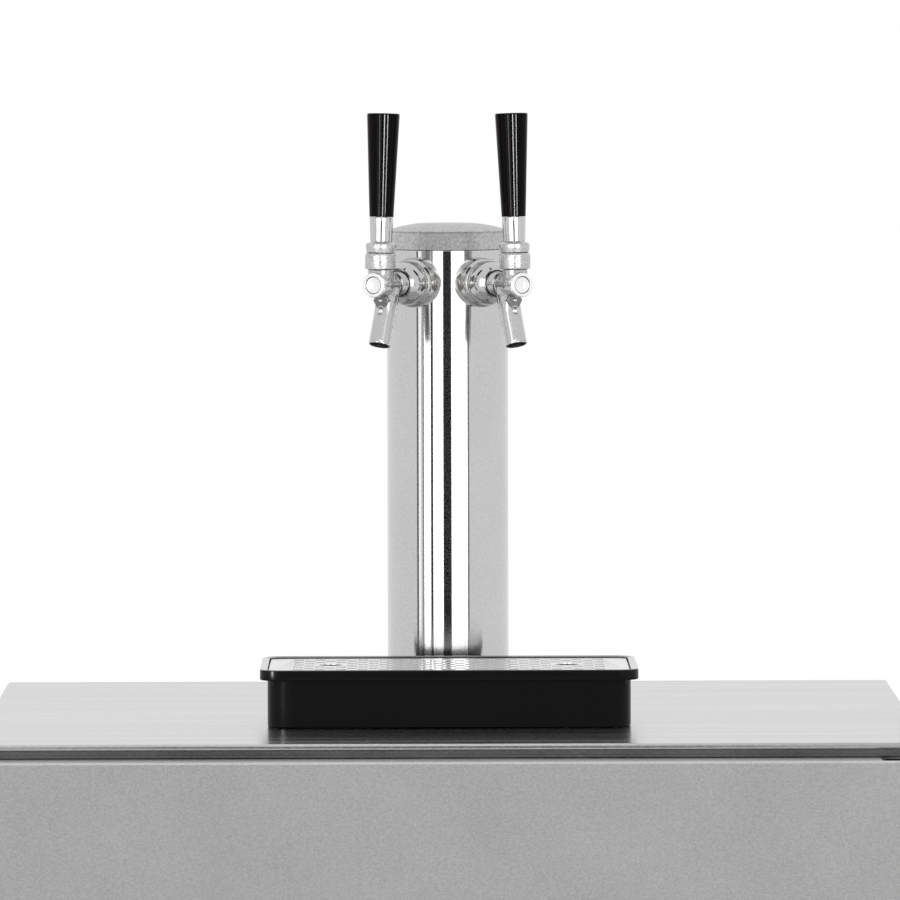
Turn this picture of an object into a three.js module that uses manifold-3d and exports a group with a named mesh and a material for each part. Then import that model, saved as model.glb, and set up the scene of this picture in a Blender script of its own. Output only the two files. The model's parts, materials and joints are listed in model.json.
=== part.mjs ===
// Outdoor kegerator: an insulated undercounter cabinet with a stainless worktop, a drip tray
// and a round two-tap tower. Millimetres, +Z up, front towards -Y, origin on the floor under
// the middle of the whole object.
import * as THREE from "three";
import { mergeVertices } from "three/addons/utils/BufferGeometryUtils.js";
import Module from "manifold-3d";

const wasm = await Module();
wasm.setup();
const turn = THREE.MathUtils.degToRad;
const degrees = THREE.MathUtils.radToDeg;

// Clearances and overruns
const FIT = 0.3; // between pieces that seat on each other
const PLAY = 0.4; // around pieces that slide or turn
const OVERRUN = 5; // how far a cut runs past the face it opens
const MERGE = 1e-4; // corners closer than this are one corner

// Sides of round pieces
const SIDES_LARGE = 36;
const SIDES_MEDIUM = 24;
const SIDES = 16;
const SIDES_SMALL = 8;
const SIDES_HEX = 6;
const ARC_STEPS = 4;
const CORNER_STEPS = 3;
const EDGE_STEPS = 1;
const HOSE_QUARTER_SIDES = 4;

// Worktop
const WORKTOP_W = 762;
const WORKTOP_D = 610;
const WORKTOP_T = 9.6;
const WORKTOP_H = 914;
const WORKTOP_CORNER_R = 4;
const WORKTOP_EDGE_R = 1.5;
const WORKTOP_SHEET_T = 1.6; // over the hollow underneath
const WORKTOP_RIM_W = 30; // left solid round that hollow
const WORKTOP_HUB_R = 84; // left solid under the tower's flange
const LINE_HOLE_R = 36; // the way up for the beer lines

// Cabinet
const CABINET_INSET = 3; // the worktop overhangs the sides and the back by this
const SHEET_T = 1.2;
const WALL_T = 35;
const LINER_T = 2;
const LEG_H = 40;
const KICK_H = 62;
const BAY_D = 138;
const BAY_H = 245;
const PAN_T = 2;
const PAN_LIP_H = 12;
const KICK_T = 1.5;

// Slots in the kick grille and the rear grille
const KICK_SLOT_W = 84;
const KICK_SLOT_H = 8;
const KICK_SLOT_PITCH_X = 108;
const KICK_SLOT_PITCH_Z = 22;
const KICK_COLUMNS = 6;
const KICK_ROWS = 2;
const REAR_SLOT_W = 120;
const REAR_SLOT_H = 14;
const REAR_SLOT_PITCH_X = 150;
const REAR_SLOT_PITCH_Z = 42;
const REAR_COLUMNS = 3;
const REAR_ROWS = 4;

// Levelling legs
const LEG_INSET = 42;
const LEG_FOOT_R = 22;
const LEG_FOOT_H = 8;
const LEG_NECK_R = 8;
const LEG_HEX_R = 12;
const LEG_HEX_H = 9;
const LEG_ROD_R = 6;
const LEG_ROD_UP = 24;

// Door
const DOOR_PROUD = 31; // how far its face stands in front of the worktop's edge
const DOOR_T = 54;
const DOOR_GAP = 2;
const DOOR_SIDE_INSET = 2;
const DOOR_CORNER_R = 3;
const DOOR_EDGE_R = 1.6;
const DOOR_SHEET_T = 1;
const DOOR_RECESS = 20;
const DOOR_RECESS_MARGIN = 40;
const GASKET_T = 8;
const GASKET_W = 16;
const GASKET_LAP = 2;

// Hinges
const PIN_INSET_X = 19;
const PIN_INSET_Y = 26;
const PIN_R = 4;
const PIN_L = 16;
const ARM_R = 12;
const ARM_T = 4;
const NOTCH_H = 12;
const NOTCH_REACH = 23; // from the pin's axis to the notch's front wall
const NOTCH_HALF_W = 17;
const BRACKET_T = 3;
const BRACKET_H = 8;

// Door handle and lock
const HANDLE_INSET = 44;
const HANDLE_TOP_DROP = 152;
const HANDLE_L = 450;
const HANDLE_R = 11;
const HANDLE_CHAMFER = 2.75;
const HANDLE_STANDOFF = 45;
const POST_R = 7;
const POST_INSET = 36;
const ROSE_R = 12;
const ROSE_T = 3;
const LOCK_R = 9;
const LOCK_PROUD = 4;
const LOCK_DEPTH = 14;
const LOCK_DROP = 128;
const KEYWAY_W = 2;
const KEYWAY_L = 9;
const KEYWAY_DEPTH = 3;

// Cooling machinery
const COMPRESSOR_R = 58;
const COMPRESSOR_H = 150;
const COMPRESSOR_X = -190;
const COMPRESSOR_DOME_DEG = 20; // where its dome begins, above the horizontal
const CONDENSER_SIDE_GAP = 188; // from its near face to the cabinet's right side
const CONDENSER_T = 55;
const CONDENSER_H = 180;
const CONDENSER_INSET = 10;
const FIN_GROOVES = 10;
const FIN_GROOVE_W = 5;
const FIN_GROOVE_DEPTH = 18;
const SHROUD_R = 57;
const SHROUD_T = 3;
const SHROUD_L = 34;
const FAN_HUB_R = 12;
const FAN_L = 18;
const FAN_BLADES = 5;
const FAN_BLADE_W = 26;
const FAN_BLADE_T = 2;
const FAN_PITCH_DEG = 32;
const MOTOR_R = 20;
const MOTOR_L = 30;
const MOTOR_SHAFT_R = 3;
const MOTOR_BAR = 10;
const INLET_W = 48;
const INLET_H = 28;
const INLET_D = 24;
const INLET_WALL = 3;
const INLET_INSET = 60;
const EVAPORATOR_W = 360;
const EVAPORATOR_H = 210;
const EVAPORATOR_D = 60;
const EVAPORATOR_GAP = 41; // to the room's right wall
const EVAPORATOR_DROP = 46;
const EVAPORATOR_T = 2.5;
const EVAPORATOR_SLOTS = 5;
const EVAPORATOR_SLOT_W = 200;
const EVAPORATOR_SLOT_H = 6;
const EVAPORATOR_SLOT_PITCH = 20;
const KNOB_R = 17;
const KNOB_DRAFT = 1;
const KNOB_T = 14;
const KNOB_STUB_R = 4;
const KNOB_STUB_L = 8;
const KNOB_INSET_X = 40;

// Gas cylinder, valve and regulator
const CYLINDER_R = 66.5;
const CYLINDER_BODY_H = 330;
const CYLINDER_SHOULDER_H = 34;
const CYLINDER_SHOULDER_R_SHARE = 0.8;
const CYLINDER_SHOULDER_H_SHARE = 0.6;
const CYLINDER_FOOT_EDGE = 1.8;
const CYLINDER_NECK_R = 13;
const CYLINDER_H = 410;
const CYLINDER_GAP = 6;
const OUTLET_R = 9;
const OUTLET_L = 66;
const OUTLET_DROP = 22;
const WHEEL_R = 21;
const WHEEL_T = 13;
const WHEEL_STUB_R = 4;
const REG_NUT_R = 15;
const REG_NUT_L = 14;
const REG_R = 20;
const GAUGE_R = 22;
const GAUGE_T = 14;
const GAUGE_REACH = 44;
const BARB_R = 4;
const BARB_L = 14;
const BARB_SPREAD = 18;
const GAS_HOSE_R = 4.5;
const GAS_HOSE_STEPS = 36;
const HOSE_END_L = 30;
// Bends of the hoses: steps from the barb, from below the barb at the inlet's height, and from
// the inlet
const LEFT_HOSE_FALL = [
  [0, 0, -60],
  [2, 4, -200],
];
const LEFT_HOSE_SWEEP = [
  [12, 4, 36],
  [52, 0, 2],
];
const RIGHT_HOSE_FALL = [
  [0, 0, -60],
  [10, 16, -180],
];
const RIGHT_HOSE_SWEEP = [
  [50, 40, 90],
  [116, 51, 46],
  [172, 46, 20],
];
const RIGHT_HOSE_END = [
  [-74, 28, 5],
  [-40, 6, 0],
  [-12, 0, 0],
];

// Keg couplers
const COUPLER_BASE_R = 29;
const COUPLER_BASE_H = 14;
const COUPLER_R = 19;
const COUPLER_BODY_H = 72;
const COUPLER_TOP_R = 8;
const COUPLER_H = 104;
const COUPLER_GAS_Z = 35;
const COUPLER_GAS_L = 40;
const COUPLER_GAS_R = 6;
const COUPLER_PIN_Z = 58;
const COUPLER_PIN_R = 3.5;
const COUPLER_PIN_REACH = 29;
const COUPLER_X = { left: -20, right: 150 };
const COUPLER_ARM_IN = 21;
const COUPLER_ARM_T = 5;
const COUPLER_ARM_H = 12;
const COUPLER_ARM_L = 78;
const COUPLER_GRIP_L = 50;
const COUPLER_GRIP_W = 16;
const COUPLER_GRIP_CORNER_R = 5.3;
const COUPLER_LIFT_DEG = 70;

// Beer lines
const BEER_LINE_R = 5.6;
const BEER_LINE_STEPS = 34;
const BEER_LINE_RISE = [
  [1, -2, 50],
  [1, -14, 160],
  [0.9, -26, 270],
]; // share of the coupler's distance from the middle, step forward and height above it
const BEER_LINE_MIX = 0.6; // share of the way back to the coupler
const BEER_LINE_FORWARD = 60;
const BEER_LINE_LOW = 60;
const BEER_LINE_CLIMB = [
  [30, -10],
  [4, 50],
]; // step back from the elbow and height above the ceiling
const BEER_LINE_UP = [60, 170]; // above the worktop

// Drip tray and grate
const TRAY_FRONT_Y = 136;
const TRAY_RIM_W = 308;
const TRAY_RIM_D = 148;
const TRAY_H = 48;
const TRAY_RIM_H = 8.8;
const TRAY_RIM_LAP = 6; // the rim stands out past the body by this
const TRAY_RIM_CORNER_R = 16;
const TRAY_WALL = 3;
const TRAY_FOOT_H = 3.1;
const TRAY_FOOT_W = 19;
const TRAY_EDGE_R = 1.2;
const GRATE_T = 1.6;
const GRATE_DROP = 1.4; // from the rim's top to the grate's top
const GRATE_INSET = 6.5;
const SLOT_W = 6;
const SLOT_L = 17;
const SLOT_PITCH_X = 8.8;
const SLOT_PITCH_Y = 24;
const SLOT_COLUMNS = 29;
const SLOT_MARGIN_Y = 9;
const FINGER_HOLE_R = 9.6;
const FINGER_HOLE_X = 97;
const FINGER_MARGIN_X = 6;
const FINGER_MARGIN_Y = 10.2;

// Tower
const TOWER_Y = 370;
const TOWER_GASKET_T = 2;
const TOWER_FLANGE_R = 74;
const TOWER_FLANGE_T = 5;
const TOWER_SCREWS = 6;
const TOWER_SCREW_R = 6;
const TOWER_SCREW_H = 3.5;
const TOWER_SCREW_PITCH_R = 63;
const COLUMN_R = 50.8;
const COLUMN_T = 1.6;
const COLUMN_H = 383;
const CAP_R = 51.7;
const CAP_BAND_H = 15.4;
const CAP_RISE = 5.6;
const CAP_PLATEAU_R = 24;
const CAP_PLATEAU_EDGE = 3;
const CAP_EDGE_RISE_SHARE = 0.96;
const CAP_SLOPE_RISE_SHARE = 0.62;
const CAP_SKIRT_H = 14;
const CAP_T = 1.5;

// Faucets: distances out are from the column's axis, heights are from the shank's axis
const FAUCET_SPREAD_DEG = 30;
const SHANK_DROP = 27; // of the shanks' axis below the column's top
const SHANK_R = 11.1;
const SHANK_IN = 30;
const SHANK_BORE_R = 3.2;
const ELBOW_OUT = 24;
const ELBOW_R = 5.6;
const ELBOW_L = 32;
const LOCK_NUT_R = 15;
const LOCK_NUT_IN = 38;
const LOCK_NUT_T = 7;
const COLLAR_R = 20.75;
const COLLAR_OUT = 64;
const COLLAR_SHARES = [
  [1, 0.45],
  [0.975, 0.75],
]; // of its radius and of its reach from the column
const THREAD_R = 14.2;
const THREAD_OUT = 71;
const SEAT_R = 8;
const NUT_R = 18.4;
const NUT_OUT = 82;
const NUT_LIP_T = 3;
const NUT_DOME_SHARES = [
  [0.97, 0],
  [1, 0.08],
  [1, 0.3],
  [0.96, 0.55],
  [0.85, 0.8],
  [0.69, 1],
]; // of its radius and of its length
const NUT_HOLE_R = 2.2;
const NUT_HOLE_DEPTH = 2.4;
const NUT_HOLES = 2;
const NUT_HOLE_TURN_SHARE = 0.04;
const NUT_HOLE_OUT_SHARE = 0.45;
const BARREL_TAIL_R = 13.9;
const BARREL_NECK_R = 10.6;
const BARREL_WAIST_R = 8.9;
const BARREL_R = 10.4;
const BARREL_BORE_R = 6.6;
const BARREL_OUT = 119;
const LEVER_OUT = 111;
const PIVOT_H = 13;
const BOSS_R = 10.4;
const STUB_R = 9;
const STUB_H = 5;
const STUB_BORE_R = 6.6;
const SPOUT_DROP = 48;
const SPOUT_TOP_OUT = 95.6;
const SPOUT_TIP_OUT = 112.3;
const SPOUT_TOP_R = 8.8;
const SPOUT_TIP_R = 9;
const SPOUT_BORE_TIP_R = 8;
const SPOUT_BORE_TOP_R = 5.6;
const WEB_T = 13;
const WEB_TOP_SHARES = [0.8, 0.1]; // of the spout's top radius and its drop
const WEB_LOW_SHARES = [1.3, 0.75]; // of the spout's tip radius and its drop
const WEB_FRONT_SHARES = [0.4, 0.6]; // of the spout's tip radius and its drop
const WEB_BOSS_SHARES = [0.6, 0.2]; // of the boss's radius and the spout's drop
const WEB_BACK_SHARE = 0.7; // of the boss's radius
const HEX_BOSS_R = 7;
const HEX_BOSS_DROP = 13;
const HEX_BOSS_OUT = 115.5;
const VENT_BALL_R = 2;
const NUB_R = 2.7;
const NUB_DROP = 22;
const NUB_OUT = 112.6;
const FACE_CAP_R = 10.3;
const FACE_CAP_T = 4;
const FACE_CAP_CHAMFER = 1;
const FACE_CAP_RING_R = 7;
const FACE_CAP_DISH = 0.8;
const FACE_PLUG_R = 6.2;
const FACE_PLUG_L = 2.4;
const BONNET_R = 12.75;
const BONNET_H = 12;
const BONNET_CROWN_R = 17.5;
const BONNET_CHAMFER = 0.8;
const BONNET_CROWN_EDGE_DEG = 5; // where the crown begins, past the chamfer
const LEVER_LEAN_DEG = 2.45;
const LEVER_BALL_R = 5.8;
const LEVER_STEM_R = 3;
const LEVER_FOOT_R = 2.8;
const LEVER_NECK_SHARE = 0.9; // of its foot's radius
const LEVER_NECK_DROP_SHARE = 1.2; // of its ball's radius
const LEVER_COLLAR_R = 12.5;
const LEVER_COLLAR_LOW_R = 11.8;
const LEVER_COLLAR_BAND_H = 3.2;
const LEVER_COLLAR_TOP = 22; // above the pivot, as are the next three
const FERRULE_TOP = 43;
const HANDLE_TOP = 128.5;
const STUD_TOP = 58;
const COLLAR_GAP = 0.5; // between the bonnet's crown and the lever's collar
const LEVER_CHAMFER = 1.6;
const STUD_R = 4.8;
const FERRULE_LOW_R = 9.05;
const FERRULE_HIGH_R = 9.9;
const TAP_HANDLE_LOW_R = 10;
const TAP_HANDLE_HIGH_R = 13.5;
const TAP_HANDLE_EDGE_R = 2.4;
const SLOT_BACK = 4.4;
const SLOT_FRONT = 11.2;
const SLOT_HALF_W = 3.6;
const SHAFT_R = 3;
const SHAFT_BACK = 72;
const SHAFT_SEAL_R = 6.1;
const SHAFT_SEAL_T = 3;
const YOKE_R = 6.1;
const YOKE_HALF_L = 5.5;
const YOKE_SLOT_DEPTH = 4;
const YOKE_LIP_H = 1.5; // its front wall stops here, so that the tilted lever clears it

// Places worked out from the sizes
const HALF_W = WORKTOP_W / 2 - CABINET_INSET;
const WORKTOP_UNDER = WORKTOP_H - WORKTOP_T;
const TOP = WORKTOP_UNDER - FIT;
const DOOR_FRONT = -DOOR_PROUD;
const DOOR_BACK = DOOR_FRONT + DOOR_T;
const FRONT = DOOR_BACK + GASKET_T;
const BACK = WORKTOP_D - CABINET_INSET;
const PAN_TOP = LEG_H + PAN_T;
const CHANNEL_TOP = LEG_H + KICK_H;
const BAY_FRONT = BACK - BAY_D;
const BAY_TOP = LEG_H + BAY_H;
const BAY_Y = (BAY_FRONT + BACK) / 2;
const CONDENSER_X = HALF_W - CONDENSER_SIDE_GAP;
const LINER_HALF_W = HALF_W - WALL_T;
const LINER_BACK = BACK - WALL_T;
const LINER_BOTTOM = CHANNEL_TOP + WALL_T;
const LINER_TOP = TOP - WALL_T;
const HUMP_FRONT = BAY_FRONT - WALL_T;
const HUMP_TOP = BAY_TOP + WALL_T;
const SHELF_Z = HUMP_TOP + LINER_T;
const SHELF_Y = (HUMP_FRONT - LINER_T + LINER_BACK - LINER_T) / 2;
const ROOM_HALF_W = LINER_HALF_W - LINER_T;
const ROOM_BACK = LINER_BACK - LINER_T;
const ROOM_TOP = LINER_TOP - LINER_T;
const ROOM_BOTTOM = LINER_BOTTOM + LINER_T;
const DOOR_HALF_W = WORKTOP_W / 2 - DOOR_SIDE_INSET;
const DOOR_TOP = WORKTOP_UNDER - DOOR_GAP;
const DOOR_BOTTOM = CHANNEL_TOP + DOOR_GAP;
const PIN_X = DOOR_HALF_W - PIN_INSET_X;
const PIN_Y = DOOR_FRONT + PIN_INSET_Y;
const PIN_TOP = DOOR_TOP - (NOTCH_H + ARM_T) / 2;
const PIN_BOTTOM = DOOR_BOTTOM + (NOTCH_H + ARM_T) / 2;
const HANDLE_X = -DOOR_HALF_W + HANDLE_INSET;
const HANDLE_Y = DOOR_FRONT - HANDLE_STANDOFF;
const HANDLE_TOP_Z = DOOR_TOP - HANDLE_TOP_DROP;
const SHANK_Z = WORKTOP_H + COLUMN_H - SHANK_DROP;
const EVAPORATOR_X = ROOM_HALF_W - EVAPORATOR_GAP - EVAPORATOR_W / 2;
const COUPLER_Z = SHELF_Z + FIT;
const CYLINDER_X = -ROOM_HALF_W + CYLINDER_GAP + CYLINDER_R;
const OUTLET_Z = SHELF_Z + CYLINDER_H - OUTLET_DROP;
const REG_X = CYLINDER_X + OUTLET_L + FIT + REG_NUT_L + REG_R / 2;
const MIDDLE_Y = (HANDLE_Y - HANDLE_R + WORKTOP_D) / 2;

// Finishes
const finish = (color, roughness, metalness) =>
  new THREE.MeshStandardMaterial({ color, roughness, metalness });
const brushed = finish(0xc4c5c6, 0.35, 1);
const polished = finish(0xd8d9da, 0.12, 1);
const chrome = finish(0xe4e5e6, 0.05, 1);
const zinc = finish(0x8f9396, 0.5, 1);
const black = finish(0x0b0b0c, 0.3, 0);
const rubber = finish(0x1b1b1c, 0.8, 0);
const foam = finish(0xd9cfae, 0.95, 0);
const white = finish(0xe9e9e6, 0.5, 0);
const clear = finish(0xd7dde0, 0.2, 0);
const gasRed = finish(0x9c1f1a, 0.4, 0);

const kegerator = new THREE.Group();
kegerator.position.y = -MIDDLE_Y;

// A closed geometry as a solid.
function solid(geometry) {
  const bare = geometry.index ? geometry.toNonIndexed() : geometry.clone();
  bare.deleteAttribute("normal");
  bare.deleteAttribute("uv");
  const merged = mergeVertices(bare, MERGE);
  const corners = merged.index.array;
  const kept = [];
  for (let i = 0; i < corners.length; i += 3) {
    const [a, b, c] = [corners[i], corners[i + 1], corners[i + 2]];
    if (a !== b && b !== c && c !== a) kept.push(a, b, c);
  }
  return new wasm.Manifold(
    new wasm.Mesh({
      numProp: 3,
      vertProperties: merged.attributes.position.array,
      triVerts: new Uint32Array(kept),
    }),
  );
}

const joined = (...shapes) => shapes.reduce((all, next) => all.add(next));
const cut = (shape, ...tools) =>
  tools.reduce((left, next) => left.subtract(next), shape);

// A named piece, placed in its parent group.
function piece(parent, name, shape, material) {
  const { vertProperties, triVerts } = shape.getMesh();
  const geometry = new THREE.BufferGeometry();
  geometry.setAttribute("position", new THREE.BufferAttribute(vertProperties, 3));
  geometry.setIndex(new THREE.BufferAttribute(triVerts, 1));
  geometry.computeVertexNormals();
  const mesh = new THREE.Mesh(geometry, material);
  mesh.name = name;
  parent.add(mesh);
  return mesh;
}

// A box between two limits along each axis.
function block(x0, x1, y0, y1, z0, z1) {
  const box = new THREE.BoxGeometry(x1 - x0, y1 - y0, z1 - z0);
  return solid(box.translate((x0 + x1) / 2, (y0 + y1) / 2, (z0 + z1) / 2));
}

function lathe(profile, sides) {
  const points = profile.map(([r, h]) => new THREE.Vector2(r, h));
  return new THREE.LatheGeometry([...points, points[0]], sides);
}

// Turned about an upright axis: the profile's points are [radius, height].
const turned = (profile, x, y, z, sides = SIDES) =>
  solid(lathe(profile, sides).rotateX(Math.PI / 2).translate(x, y, z));

// Turned about an axis towards -Y: the profile's points are [radius, distance out].
const turnedOut = (profile, x, y, z, sides = SIDES) =>
  solid(lathe(profile, sides).rotateX(Math.PI).translate(x, y, z));

// Turned about an axis towards +X: the profile's points are [radius, distance along].
const turnedAcross = (profile, x, y, z, sides = SIDES) =>
  solid(lathe(profile, sides).rotateZ(-Math.PI / 2).translate(x, y, z));

const rod = (r, from, to) => [
  [0, from],
  [r, from],
  [r, to],
  [0, to],
];

const tube = (inner, outer, from, to) => [
  [outer, from],
  [outer, to],
  [inner, to],
  [inner, from],
];

// Points on an arc of a profile, from one angle above the horizontal to another.
function arc(centreR, centreH, r, fromDeg, toDeg) {
  return Array.from({ length: ARC_STEPS + 1 }, (_, i) => {
    const angle = turn(fromDeg + ((toDeg - fromDeg) * i) / ARC_STEPS);
    return [centreR + r * Math.cos(angle), centreH + r * Math.sin(angle)];
  });
}

function roundedRectangle(x0, x1, y0, y1, r) {
  const quarter = Math.PI / 2;
  return new THREE.Shape()
    .absarc(x1 - r, y0 + r, r, -quarter, 0)
    .absarc(x1 - r, y1 - r, r, 0, quarter)
    .absarc(x0 + r, y1 - r, r, quarter, 2 * quarter)
    .absarc(x0 + r, y0 + r, r, 2 * quarter, 3 * quarter)
    .closePath();
}

// A flat slab with rounded corners, and with rounded edges where edge isn't zero.
function slabGeometry(x0, x1, y0, y1, z0, z1, corner, edge) {
  const outline = roundedRectangle(x0 + edge, x1 - edge, y0 + edge, y1 - edge, corner - edge);
  return new THREE.ExtrudeGeometry(outline, {
    depth: z1 - z0 - 2 * edge,
    bevelEnabled: edge > 0,
    bevelThickness: edge,
    bevelSize: edge,
    bevelSegments: EDGE_STEPS,
    curveSegments: CORNER_STEPS,
  }).translate(0, 0, z0 + edge);
}

const slab = (...sizes) => solid(slabGeometry(...sizes));

// The same slab, standing with its faces to the front and back.
const uprightSlab = (x0, x1, y0, y1, z0, z1, corner, edge) =>
  solid(slabGeometry(x0, x1, z0, z1, -y1, -y0, corner, edge).rotateX(Math.PI / 2));

// A hose of one radius along a smooth curve through its points.
function hose(points, r, steps) {
  const route = new THREE.CatmullRomCurve3(points.map((p) => new THREE.Vector3(...p)));
  const section = new THREE.Shape().absarc(0, 0, r, 0, 2 * Math.PI);
  const geometry = new THREE.ExtrudeGeometry(section, {
    steps,
    bevelEnabled: false,
    extrudePath: route,
    curveSegments: HOSE_QUARTER_SIDES,
  });
  return solid(geometry);
}

const middleOf = (count, i) => i - (count - 1) / 2;

function buildWorktop() {
  const half = WORKTOP_W / 2;
  const top = slab(
    -half, half, 0, WORKTOP_D, WORKTOP_UNDER, WORKTOP_H, WORKTOP_CORNER_R, WORKTOP_EDGE_R,
  );
  const hole = turned(
    rod(LINE_HOLE_R, WORKTOP_UNDER - OVERRUN, WORKTOP_H + OVERRUN), 0, TOWER_Y, 0,
  );
  const hollow = cut(
    block(
      -half + WORKTOP_RIM_W, half - WORKTOP_RIM_W, WORKTOP_RIM_W, WORKTOP_D - WORKTOP_RIM_W,
      WORKTOP_UNDER - OVERRUN, WORKTOP_H - WORKTOP_SHEET_T,
    ),
    turned(
      rod(WORKTOP_HUB_R, WORKTOP_UNDER - 2 * OVERRUN, WORKTOP_H), 0, TOWER_Y, 0, SIDES_MEDIUM,
    ),
  );
  piece(kegerator, "worktop", cut(top, hollow, hole), brushed);
}

// A box whose lower back is stepped up over the machine bay.
function stepped(half, front, back, bottom, top, stepFront, stepTop) {
  return cut(
    block(-half, half, front, back, bottom, top),
    block(-half - OVERRUN, half + OVERRUN, stepFront, back + OVERRUN, bottom - OVERRUN, stepTop),
  );
}

function buildCabinet() {
  const inside = HALF_W - SHEET_T;
  const outer = block(-HALF_W, HALF_W, FRONT, BACK, LEG_H, TOP);
  const insulated = stepped(
    inside, FRONT - OVERRUN, BACK - SHEET_T, CHANNEL_TOP + SHEET_T, TOP - SHEET_T,
    BAY_FRONT - SHEET_T, BAY_TOP + SHEET_T,
  );
  const channel = block(
    -inside, inside, FRONT - OVERRUN, BACK + OVERRUN, LEG_H - OVERRUN, CHANNEL_TOP,
  );
  const bay = block(-inside, inside, BAY_FRONT, BACK + OVERRUN, LEG_H - OVERRUN, BAY_TOP);
  const hole = turned(rod(LINE_HOLE_R, ROOM_TOP - OVERRUN, TOP + OVERRUN), 0, TOWER_Y, 0);
  piece(kegerator, "cabinet_shell", cut(outer, insulated, channel, bay, hole), brushed);

  const linerOuter = stepped(
    LINER_HALF_W, FRONT, LINER_BACK, LINER_BOTTOM, LINER_TOP, HUMP_FRONT, HUMP_TOP,
  );
  const flange = block(
    -inside + FIT, inside - FIT, FRONT, FRONT + LINER_T,
    CHANNEL_TOP + SHEET_T + FIT, TOP - SHEET_T - FIT,
  );
  const room = stepped(
    ROOM_HALF_W, FRONT - OVERRUN, ROOM_BACK, ROOM_BOTTOM, ROOM_TOP,
    HUMP_FRONT - LINER_T, SHELF_Z,
  );
  piece(kegerator, "inner_liner", cut(joined(linerOuter, flange), room, hole), white);

  const filling = stepped(
    inside - FIT, FRONT + LINER_T + FIT, BACK - SHEET_T - FIT,
    CHANNEL_TOP + SHEET_T + FIT, TOP - SHEET_T - FIT,
    BAY_FRONT - SHEET_T - FIT, BAY_TOP + SHEET_T + FIT,
  );
  const linerSpace = stepped(
    LINER_HALF_W + FIT, FRONT - OVERRUN, LINER_BACK + FIT, LINER_BOTTOM - FIT, LINER_TOP + FIT,
    HUMP_FRONT + FIT, HUMP_TOP - FIT,
  );
  piece(kegerator, "cabinet_foam", cut(filling, linerSpace, hole), foam);
}

const legPlaces = () => {
  const x = HALF_W - LEG_INSET;
  return {
    front_left: [-x, FRONT + LEG_INSET],
    front_right: [x, FRONT + LEG_INSET],
    rear_left: [-x, BACK - LEG_INSET],
    rear_right: [x, BACK - LEG_INSET],
  };
};

function slots(columns, rows, pitchX, pitchZ, w, h, midX, y, midZ) {
  const tools = [];
  for (let i = 0; i < columns; i += 1) {
    for (let j = 0; j < rows; j += 1) {
      const x = midX + middleOf(columns, i) * pitchX;
      const z = midZ + middleOf(rows, j) * pitchZ;
      tools.push(
        block(x - w / 2, x + w / 2, y - OVERRUN, y + OVERRUN, z - h / 2, z + h / 2),
      );
    }
  }
  return tools;
}

function buildBase() {
  const half = HALF_W - SHEET_T - FIT;
  const front = FRONT + KICK_T + FIT;
  const back = BACK - KICK_T - FIT;
  const plate = block(-half, half, front, back, LEG_H, PAN_TOP + PAN_LIP_H);
  const inside = block(
    -half + PAN_T, half - PAN_T, front + PAN_T, back - PAN_T, PAN_TOP,
    PAN_TOP + PAN_LIP_H + OVERRUN,
  );
  const holes = Object.values(legPlaces()).map(([x, y]) =>
    turned(rod(LEG_ROD_R + FIT, LEG_H - OVERRUN, PAN_TOP + OVERRUN), x, y, 0, SIDES_SMALL),
  );
  piece(kegerator, "base_pan", cut(plate, inside, ...holes), zinc);

  const kick = block(-half, half, FRONT, FRONT + KICK_T, LEG_H, CHANNEL_TOP - FIT);
  const kickSlots = slots(
    KICK_COLUMNS, KICK_ROWS, KICK_SLOT_PITCH_X, KICK_SLOT_PITCH_Z, KICK_SLOT_W, KICK_SLOT_H,
    0, FRONT, (LEG_H + CHANNEL_TOP) / 2,
  );
  piece(kegerator, "kick_grille", cut(kick, ...kickSlots), brushed);

  const rear = block(-half, half, BACK - KICK_T, BACK, LEG_H, BAY_TOP - FIT);
  const rearSlots = slots(
    REAR_COLUMNS, REAR_ROWS, REAR_SLOT_PITCH_X, REAR_SLOT_PITCH_Z, REAR_SLOT_W, REAR_SLOT_H,
    0, BACK, (LEG_H + BAY_TOP) / 2,
  );
  const inletX = HALF_W - INLET_INSET;
  const inletZ = (LEG_H + BAY_TOP) / 2;
  const socket = (grow, y0, y1) =>
    block(
      inletX - INLET_W / 2 - grow, inletX + INLET_W / 2 + grow, y0, y1,
      inletZ - INLET_H / 2 - grow, inletZ + INLET_H / 2 + grow,
    );
  const opening = socket(FIT, BACK - OVERRUN, BACK + OVERRUN);
  piece(kegerator, "rear_grille", cut(rear, ...rearSlots, opening), zinc);
  const inlet = cut(
    socket(0, BACK - INLET_D, BACK),
    socket(-INLET_WALL, BACK - INLET_D + INLET_WALL, BACK + OVERRUN),
  );
  piece(kegerator, "power_inlet", inlet, black);
}

function buildLegs() {
  const hexTop = LEG_H - FIT;
  const hexBottom = hexTop - LEG_HEX_H;
  for (const [corner, [x, y]] of Object.entries(legPlaces())) {
    const pad = turned(
      [
        [0, 0],
        [LEG_FOOT_R, 0],
        [LEG_FOOT_R, LEG_FOOT_H / 2],
        [LEG_NECK_R, LEG_FOOT_H],
        [LEG_NECK_R, hexBottom + FIT],
        [0, hexBottom + FIT],
      ],
      x, y, 0,
    );
    const hex = turned(rod(LEG_HEX_R, hexBottom, hexTop), x, y, 0, SIDES_HEX);
    const thread = turned(rod(LEG_ROD_R, hexBottom, PAN_TOP + LEG_ROD_UP), x, y, 0, SIDES_SMALL);
    piece(kegerator, `${corner}_leg`, joined(pad, hex, thread), zinc);
  }
}

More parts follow.
